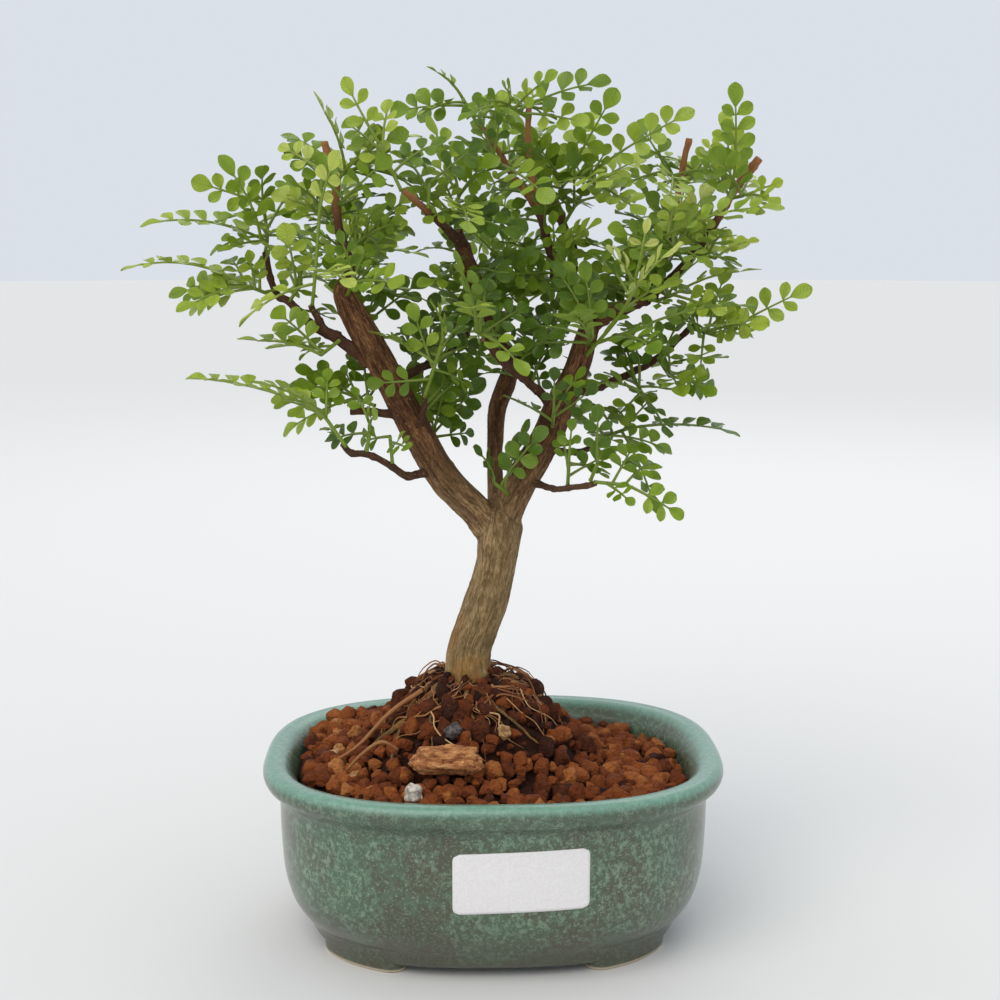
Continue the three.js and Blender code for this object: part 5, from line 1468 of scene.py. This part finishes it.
# %% Placed fronds
class Crown:
    """The places that leaves already fill, and the shoot that each belongs to."""

    def __init__(self):
        self.places = np.empty((0, 3))
        self.owners = np.empty(0, int)

    def keep(self, samples, owner):
        self.places = np.vstack([self.places, samples])
        self.owners = np.append(self.owners, np.full(len(samples), owner))

    def gaps(self, samples):
        return np.linalg.norm(samples[:, None] - self.places, axis=2)

    def has_room(self, samples, owner, seat, share=1.0):
        near = np.linalg.norm(samples - seat, axis=1) < NEAR_SEAT
        room = share * np.where(near, CLEAR_NEAR_SEAT, CLEAR_OF_WOOD)
        if (wood_bars.distances(samples)[0].min(1) < room).any():
            return False
        others = stem_bars.distances(samples)[0][:, stem_bars.mark != owner]
        if (others < share * CLEAR_OF_STEMS).any():
            return False
        wanted = share * np.where(self.owners == owner, CLEAR_OF_SISTERS, CLEAR_OF_LEAVES)
        return not (self.gaps(samples) < wanted).any()


stems = [seated_stem(points) for _, points, _ in SHOOTS]
stem_bars = Bars([(a, b, STEM_RADIUS, STEM_RADIUS, owner)
                  for owner, stem in enumerate(stems) for a, b in zip(stem, stem[1:])])
leaf_draws = draws_from(LEAF_SEED)
crown = Crown()


def placed_rib(part, tip, pairs, facing, owner):
    base = along_stem(stems[owner], part)
    wanted = np.array(tip, float) - base
    length = np.linalg.norm(wanted)
    for attempt in range(TRIES):
        bend = TRY_SPREAD * attempt
        aside = np.array([next(leaf_draws) for _ in range(3)])
        roll = 0.35 * next(leaf_draws) + bend * next(leaf_draws)
        arch = 0.09 + 0.04 * next(leaf_draws)
        rib = Rib(base, base + length * unit(wanted / length + aside * bend), facing, roll, arch)
        samples = rib_samples(rib, pairs)
        if crown.has_room(samples, owner, stems[owner][0]):
            crown.keep(samples, owner)
            return rib
    return None


ribs = []
for owner, (_, _, fronds) in enumerate(SHOOTS):
    placed = [(placed_rib(*frond, owner), frond[2]) for frond in fronds]
    ribs.append([pair for pair in placed if pair[0] is not None])
listed = [len(own) for own in ribs]
print("listed fronds", sum(listed))

# %% [markdown]
# The crown is fuller than the listed fronds alone. Each further frond compares many drawn
# places and takes the emptiest, inside an outline of the crown that was read off. The solids
# carry the first of them; the finer leaves of this script leave room for many more, first
# behind the front of the crown, then in its middle, and last straight from the twigs there.

# %% Filling fronds
OUTER_COUNT = 250
INNER_COUNT = 60
TWIG_COUNT = 220
TWIG_LENGTH = 17
ON_TWIGS = -1
EXTRA_CHOICES = 40
EXTRA_LENGTH = 18
EXTRA_CLEARANCE = 0.55
EXTRA_FRONT = -16
INNER_MIDDLE = np.array([-2, 2, 192])
INNER_REACH = np.array([58, 24, 36])


def in_crown(place):
    x, y, z = place
    across, lows, highs = CROWN_OUTLINE.T
    low, high = np.interp(x, across, lows), np.interp(x, across, highs)
    share = (2 * z - low - high) / (high - low)
    return across[0] < x < across[-1] and share ** 2 + (y / CROWN_DEPTH) ** 2 < 1


def in_middle(place):
    return (((place - INNER_MIDDLE) / INNER_REACH) ** 2).sum() < 1


def behind_front(place):
    return in_crown(place) and place[1] > EXTRA_FRONT


def drawn_frond(draws, middling, region, lines):
    owner = int((0.5 * next(draws) + 0.5) * len(lines))
    part = 0.6 + 0.4 * next(draws)
    way = unit([next(draws) for _ in range(3)])
    length = middling + FILL_LENGTH_SPREAD * next(draws)
    facing = 0.4 + 0.4 * next(draws)
    roll = 0.35 * next(draws)
    arch = 0.09 + 0.04 * next(draws)
    base = along_stem(lines[owner], part)
    tip = base + way * length
    if not region(tip) or way[2] < FILL_LOWEST:
        return None
    return owner, Rib(base, tip, facing, roll, arch)


def emptiest(draws, choices, middling, share, region, lines):
    best, most = None, 0.0
    for _ in range(choices):
        drawn = drawn_frond(draws, middling, region, lines)
        if drawn is None:
            continue
        line, rib = drawn
        samples = rib_samples(rib, FILL_PAIRS)
        free = crown.gaps(samples).min(axis=1).mean()
        owner, seat = (line, stems[line][0]) if lines is stems else (ON_TWIGS, rib.base)
        if free > most and crown.has_room(samples, owner, seat, share):
            best, most = (owner, rib, samples), free
    if best:
        crown.keep(best[2], best[0])
    return best


fill_draws = draws_from(FILL_SEED)


def fill(count, choices, middling, share, region):
    for _ in range(count):
        found = emptiest(fill_draws, choices, middling, share, region, stems)
        if found:
            ribs[found[0]].append((found[1], FILL_PAIRS))


fill(FILL_COUNT, FILL_CHOICES, FILL_LENGTH, 1.0, in_crown)
solid_fronds = [list(own) for own in ribs]
fill(OUTER_COUNT, EXTRA_CHOICES, EXTRA_LENGTH, EXTRA_CLEARANCE, behind_front)
fill(INNER_COUNT, EXTRA_CHOICES, EXTRA_LENGTH, EXTRA_CLEARANCE, in_middle)

twig_lines = [np.array(stations)[:, :3] for stations in TWIGS.values()]
drawn = [emptiest(fill_draws, EXTRA_CHOICES, TWIG_LENGTH, EXTRA_CLEARANCE, in_middle, twig_lines)
         for _ in range(TWIG_COUNT)]
twig_ribs = [found[1] for found in drawn if found]
print("fronds growing straight from twigs", len(twig_ribs))

worst = 0.0
for (name, _, _), own in zip(SHOOTS, solid_fronds):
    low, high = (np.array(corner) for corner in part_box(f"shoot_{name}"))
    tips = in_frame([rib.point(rib.length) for rib, _ in own])
    worst = max(worst, float((low - tips).max()), float((tips - high).max()))
print("fronds on shoots", sum(map(len, ribs)), "furthest outside their solids", round(worst / MM, 2), "mm")

# %% [markdown]
# The leaflets of this species are small and round, widest past the middle, with a blunt tip
# and a nearly smooth edge. They fold up a little along the midrib. One leaflet is a grid of
# points whose width follows the outline; an upper and a lower sheet meet at the edge. Each
# point keeps its place on the blade, so the veins can be drawn in the shader.

# %% Leaflet shape
BLADE_COLUMNS = np.array([-1, -0.55, 0, 0.55, 1])
BACK_COLUMNS = np.array([-1, 0, 1])
BLADE_THICKNESS = 0.16
BLADE_WIDTH = 0.73
SCALLOP = 0.02

# Half width of a leaflet, as a share of its greatest, from its stalk to its tip
BLADE_OUTLINE = [
    (0, 0.07), (0.13, 0.36), (0.27, 0.66), (0.42, 0.91), (0.57, 1), (0.72, 0.97),
    (0.85, 0.77), (0.95, 0.42), (1, 0.1),
]
BLADE_ROWS = len(BLADE_OUTLINE)
blade_t, blade_outline = np.array(BLADE_OUTLINE).T
blade_outline = blade_outline * (1 - SCALLOP * (np.arange(BLADE_ROWS) % 2))


def sheet(columns, underside):
    t, c = np.meshgrid(blade_t, columns, indexing="ij")
    wide = np.repeat(blade_outline[:, None], len(columns), axis=1)
    under = np.full(t.shape, underside)
    return [value.ravel() for value in (t, c, wide, under)]


top, back = sheet(BLADE_COLUMNS, 0.0), sheet(BACK_COLUMNS, 1.0)
blade_values = [np.concatenate(pair) for pair in zip(top, back)]
blade_faces = quilt(BLADE_ROWS, len(BLADE_COLUMNS))
blade_faces += [tuple(i + len(top[0]) for i in face[::-1]) for face in quilt(BLADE_ROWS, len(BACK_COLUMNS))]


def add_leaflet(shell, root, way, normal, length, draws, tone, slim=1.0):
    """One leaflet from root along way, its upper side towards normal."""
    t, c, wide, under = blade_values
    way = unit(way)
    normal = unit(normal - way * (normal @ way))
    side = np.cross(normal, way)
    fold, droop = draws.uniform(0.06, 0.3), draws.uniform(-0.06, 0.14)
    twist = draws.uniform(-0.25, 0.25)
    ripple = draws.uniform(0, 2 * math.pi)
    half = 0.5 * BLADE_WIDTH * length * slim * draws.uniform(0.84, 1.12)
    out = c * wide * half
    lift = fold * np.abs(out) - droop * length * t ** 2 + twist * out * t
    lift += 0.035 * length * np.sin(7 * t + ripple) * np.abs(c) ** 2
    lift -= BLADE_THICKNESS * under * (1 - np.abs(c))
    points = root + way * (t * length)[:, None] + side * out[:, None] + normal * lift[:, None]
    blade = np.column_stack([t, c, under])
    shell.add(points, blade_faces, blade=blade, tone=tone, rib=0.0)


# %% [markdown]
# Young leaves are yellow green and let light through; old ones are dark and glossy, and all
# are paler beneath. Side veins leave the midrib at a slant. They are found with a saw-tooth
# of the distance along the blade less the distance out, and they are sunk a little.

# %% Leaf finish
VEIN_PAIRS = 7.0


def leaf_finish():
    look = Finish("pepper_leaf")
    place = look.place()
    blade = look.vector("blade")
    up, out, under = look.part(blade, "X"), look.part(blade, "Y"), look.part(blade, "Z")
    off = out.size()
    phase = (up * VEIN_PAIRS - off * 1.7).math("FRACT")
    side_vein = (phase - 0.5).size().between(0.36, 0.5) * off.between(1.05, 0.4)
    mid_vein = off.between(0.11, 0.03)
    vein = side_vein.math("MAXIMUM", mid_vein)
    cloud = look.clouds(place, 260.0, 3.0)
    glands = look.cells(place, 1900.0)
    tone = look.value("tone") + (cloud - 0.5) * 0.25
    flesh = look.ramp(tone, [
        (0.0, seen(34, 58, 4)), (0.25, seen(80, 114, 12)), (0.5, seen(144, 174, 36)),
        (0.75, seen(198, 216, 76)), (1.0, seen(232, 234, 140)),
    ])
    colour = look.coats(
        flesh, (vein * 0.22, seen(170, 190, 100)), (off.between(0.88, 1.0) * 0.3, seen(150, 150, 62)),
        (glands.between(0.2, 0.08) * 0.15, seen(150, 176, 80)), (under * 0.5, seen(148, 170, 84)),
        (look.value("rib") * 0.8, seen(128, 146, 58)),
    )
    roughness = 0.3 + under * 0.25 + cloud * 0.12
    normal = look.relief(cloud - vein * 0.55, 0.00022)
    skin = look.surface(colour, roughness, normal, {"Specular IOR Level": 0.55})
    glow = look.add("ShaderNodeBsdfTranslucent", None, {"Color": seen(178, 200, 66)})
    return look.done(look.add("ShaderNodeMixShader", None, {"Fac": 0.35, 1: skin, 2: glow}))


leaf = leaf_finish()

# %% [markdown]
# Every frond gets a tapering rib with a small knot where leaflets meet, and pairs of leaflets
# closer together than on the plain solids, which only need the main form. Fronds high up and
# far out get paler tones. Three shoots on the left hold their fronds level, so that the
# camera sees them edge on, and the bright young shoot in front has larger, slimmer leaflets.

# %% Fine fronds
PAIR_PITCH = 4.6
LEAFLET_SHARE = 0.69
TERMINAL_SHARE = 0.66
YOUNG_SHOOTS = {"bright_shoot": 0.95, "left_young_rod": 0.8, "left_low_edge": 0.7, "rise_high": 0.7,
                "right_end": 0.62, "low_left_end": 0.66, "left_tip": 0.62, "left_side_pair": 0.66}
LEVEL_SHOOTS = ("left_low_edge", "low_left_end", "left_side_pair")
LEVEL = np.array([0, -0.12, 1.0])
BRIGHT_STRETCH = 1.18
STALK_RADIUS = 0.52
leafing = np.random.default_rng(5)


def shoot_tone(name, rib):
    if name in YOUNG_SHOOTS:
        return YOUNG_SHOOTS[name]
    tip = rib.point(rib.length)
    far = math.hypot(tip[0], tip[1]) / 95
    high = (tip[2] - 140) / 100
    # the tone grows paler with height and with reach from the trunk
    return float(np.clip(0.12 + 0.45 * far + 0.24 * high + leafing.uniform(-0.18, 0.24), 0.03, 0.88))


def add_stalk(shell, route, sides, tone, rib):
    points, faces, _, _ = closed_bar(route, sides)
    shell.add(points, faces, blade=np.tile([0.5, 0.5, 0.0], (len(points), 1)), tone=tone, rib=rib)


def add_frond(shell, rib, pairs, tone, stretch=1.0):
    size, terminal = leaflet_sizes(rib.length)
    size *= LEAFLET_SHARE * stretch
    terminal *= TERMINAL_SHARE * stretch
    slim = stretch ** -2.2
    end = rib.length - terminal
    count = max(pairs, round((end - petiole(rib.length)) / PAIR_PITCH))
    stations = pair_places(rib.length, terminal, count)
    ups = np.linspace(-0.2, end + 0.3, 16)
    knots = sum(np.exp(-((ups - station) / 0.6) ** 2) for station in stations)
    thick = np.interp(ups, [0, end], [0.46, 0.24]) + 0.08 * np.clip(knots, 0, 1)
    add_stalk(shell, np.column_stack([np.array([rib.point(up) for up in ups]), thick]), 6, tone, 1.0)
    for i, station in enumerate(stations):
        shrink = 0.82 + 0.18 * math.sin(math.pi * (i + 1) / (count + 0.6))
        for side in (-1, 1):
            up = station + leafing.uniform(-0.35, 0.35)
            sweep = LEAFLET_SWEEP + leafing.uniform(-0.16, 0.12) - 0.12 * i / count
            normal, way = rib.normal(up), rib.way(up)
            out = rib.side * side
            lift = LEAF_FOLD + leafing.uniform(-0.12, 0.2)
            heading = way * math.cos(sweep) + out * math.sin(sweep) + normal * lift
            facing = normal - out * LEAF_FOLD * 0.8 + rib.along * leafing.uniform(-0.18, 0.18)
            root = rib.point(up) + out * 0.25
            length = 0.98 * size * shrink * leafing.uniform(0.92, 1.06)
            shade = tone + leafing.uniform(-0.07, 0.07)
            add_leaflet(shell, root, heading, facing, length, leafing, shade, slim)
    heading = rib.way(end) + rib.normal(end) * leafing.uniform(-0.1, 0.15)
    add_leaflet(shell, rib.point(end), heading, rib.normal(end), terminal * 1.02, leafing, tone, slim)


for owner, ((name, _, _), own) in enumerate(zip(SHOOTS, ribs)):
    shoot = Shell()
    stem = np.column_stack([stems[owner], np.full(len(stems[owner]), STALK_RADIUS)])
    heel = stem[0] - np.append(unit(stem[1, :3] - stem[0, :3]) * 0.9, -0.12)
    add_stalk(shoot, smooth_route(np.vstack([heel, stem]), 1.0), 8, 0.45, 0.8)
    for k, (rib, pairs) in enumerate(own):
        is_listed = k < listed[owner]
        if is_listed and name in LEVEL_SHOOTS:
            rib.upper = unit(LEVEL - rib.along * (LEVEL @ rib.along))
            rib.side = np.cross(rib.upper, rib.along)
        stretch = BRIGHT_STRETCH if is_listed and name == "bright_shoot" else 1.0
        add_frond(shoot, rib, pairs, shoot_tone(name if is_listed else "", rib), stretch)
    young = name in ("bright_shoot", "left_young_rod")
    shoot.piece(f"fronds_{name}", leaf, "young_leaf" if young else "leaf", replaces=(f"shoot_{name}",))

on_twigs = Shell()
for rib in twig_ribs:
    add_frond(on_twigs, rib, FILL_PAIRS, shoot_tone("", rib))
on_twigs.piece("fronds_on_twigs", leaf, "leaf")

# %% [markdown]
# ## Drain screens
# The plastic screens under the soil keep the shape of their solids. They only need a finish.

# %% Screens
def screen_finish():
    look = Finish("screen_plastic")
    grain = look.clouds(look.place(), 1400.0, 3.0)
    colour = look.blend(grain, seen(26, 30, 34), seen(46, 52, 58))
    return look.done(look.surface(colour, 0.5 + grain * 0.1, look.relief(grain, 0.0001)))


screen = screen_finish()
for name in ("drain_screen_left", "drain_screen_right"):
    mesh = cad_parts[name].data
    mesh.materials.clear()
    mesh.materials.append(screen)

# %% [markdown]
# ## Stage
# The floor is plain and pale and so is the world, which gives most of the light, soft and
# even. A wide sun from the upper left in front gives the gentle shadows of the photograph,
# and a weak lamp behind the tree parts it from the background.

# %% Floor and light
FLOOR_RADIUS = 6.0
TREE_MIDDLE = (0, 0, 0.11)


def floor_finish():
    look = Finish("pale_floor")
    return look.done(look.surface(seen(224, 223, 221), 0.9))


shape = bmesh.new()
bmesh.ops.create_circle(shape, cap_ends=True, segments=96, radius=FLOOR_RADIUS)
floor = linked("floor", mesh_of("floor", shape))
floor.data.materials.append(floor_finish())

world = bpy.data.worlds.new("studio")
bpy.context.scene.world = world
world.use_nodes = True
backdrop = world.node_tree.nodes["Background"]
backdrop.inputs["Color"].default_value = seen(227, 233, 241)
backdrop.inputs["Strength"].default_value = 0.92


def aimed(name, kind, place, **settings):
    lamp = bpy.data.lights.new(name, kind)
    for key, value in settings.items():
        setattr(lamp, key, value)
    holder = linked(name, lamp)
    holder.location = place
    towards = np.array(TREE_MIDDLE) - np.array(place)
    holder.rotation_euler = Vector(towards).to_track_quat("-Z", "Y").to_euler()


aimed("key", "SUN", (-0.5, -0.8, 1.2), energy=1.35, angle=0.8, color=(1.0, 0.95, 0.88))
aimed("back", "AREA", (0.2, 0.9, 0.9), size=0.7, energy=2.0)

# %% [markdown]
# ## Camera
# The photograph was taken from a little above the crown and slightly to the left. The lens
# and the place were worked out from the rim of the pot and the feet.

# %% Camera
FOCAL_PIXELS = 1700
FRAME_PIXELS = 1000
CAMERA_PLACE = (-11.9, -471.4, 200.0)
CAMERA_TURN = -1.7
CAMERA_DOWN = 9.18

lens = bpy.data.cameras.new("camera")
lens.sensor_width = 36.0
lens.lens = lens.sensor_width * FOCAL_PIXELS / FRAME_PIXELS
lens.clip_start = 0.01
camera = linked("camera", lens)
camera.location = in_frame(CAMERA_PLACE)
camera.rotation_euler = (math.radians(90 - CAMERA_DOWN), 0, math.radians(CAMERA_TURN))
bpy.context.scene.camera = camera
bpy.context.scene.view_settings.view_transform = "Standard"
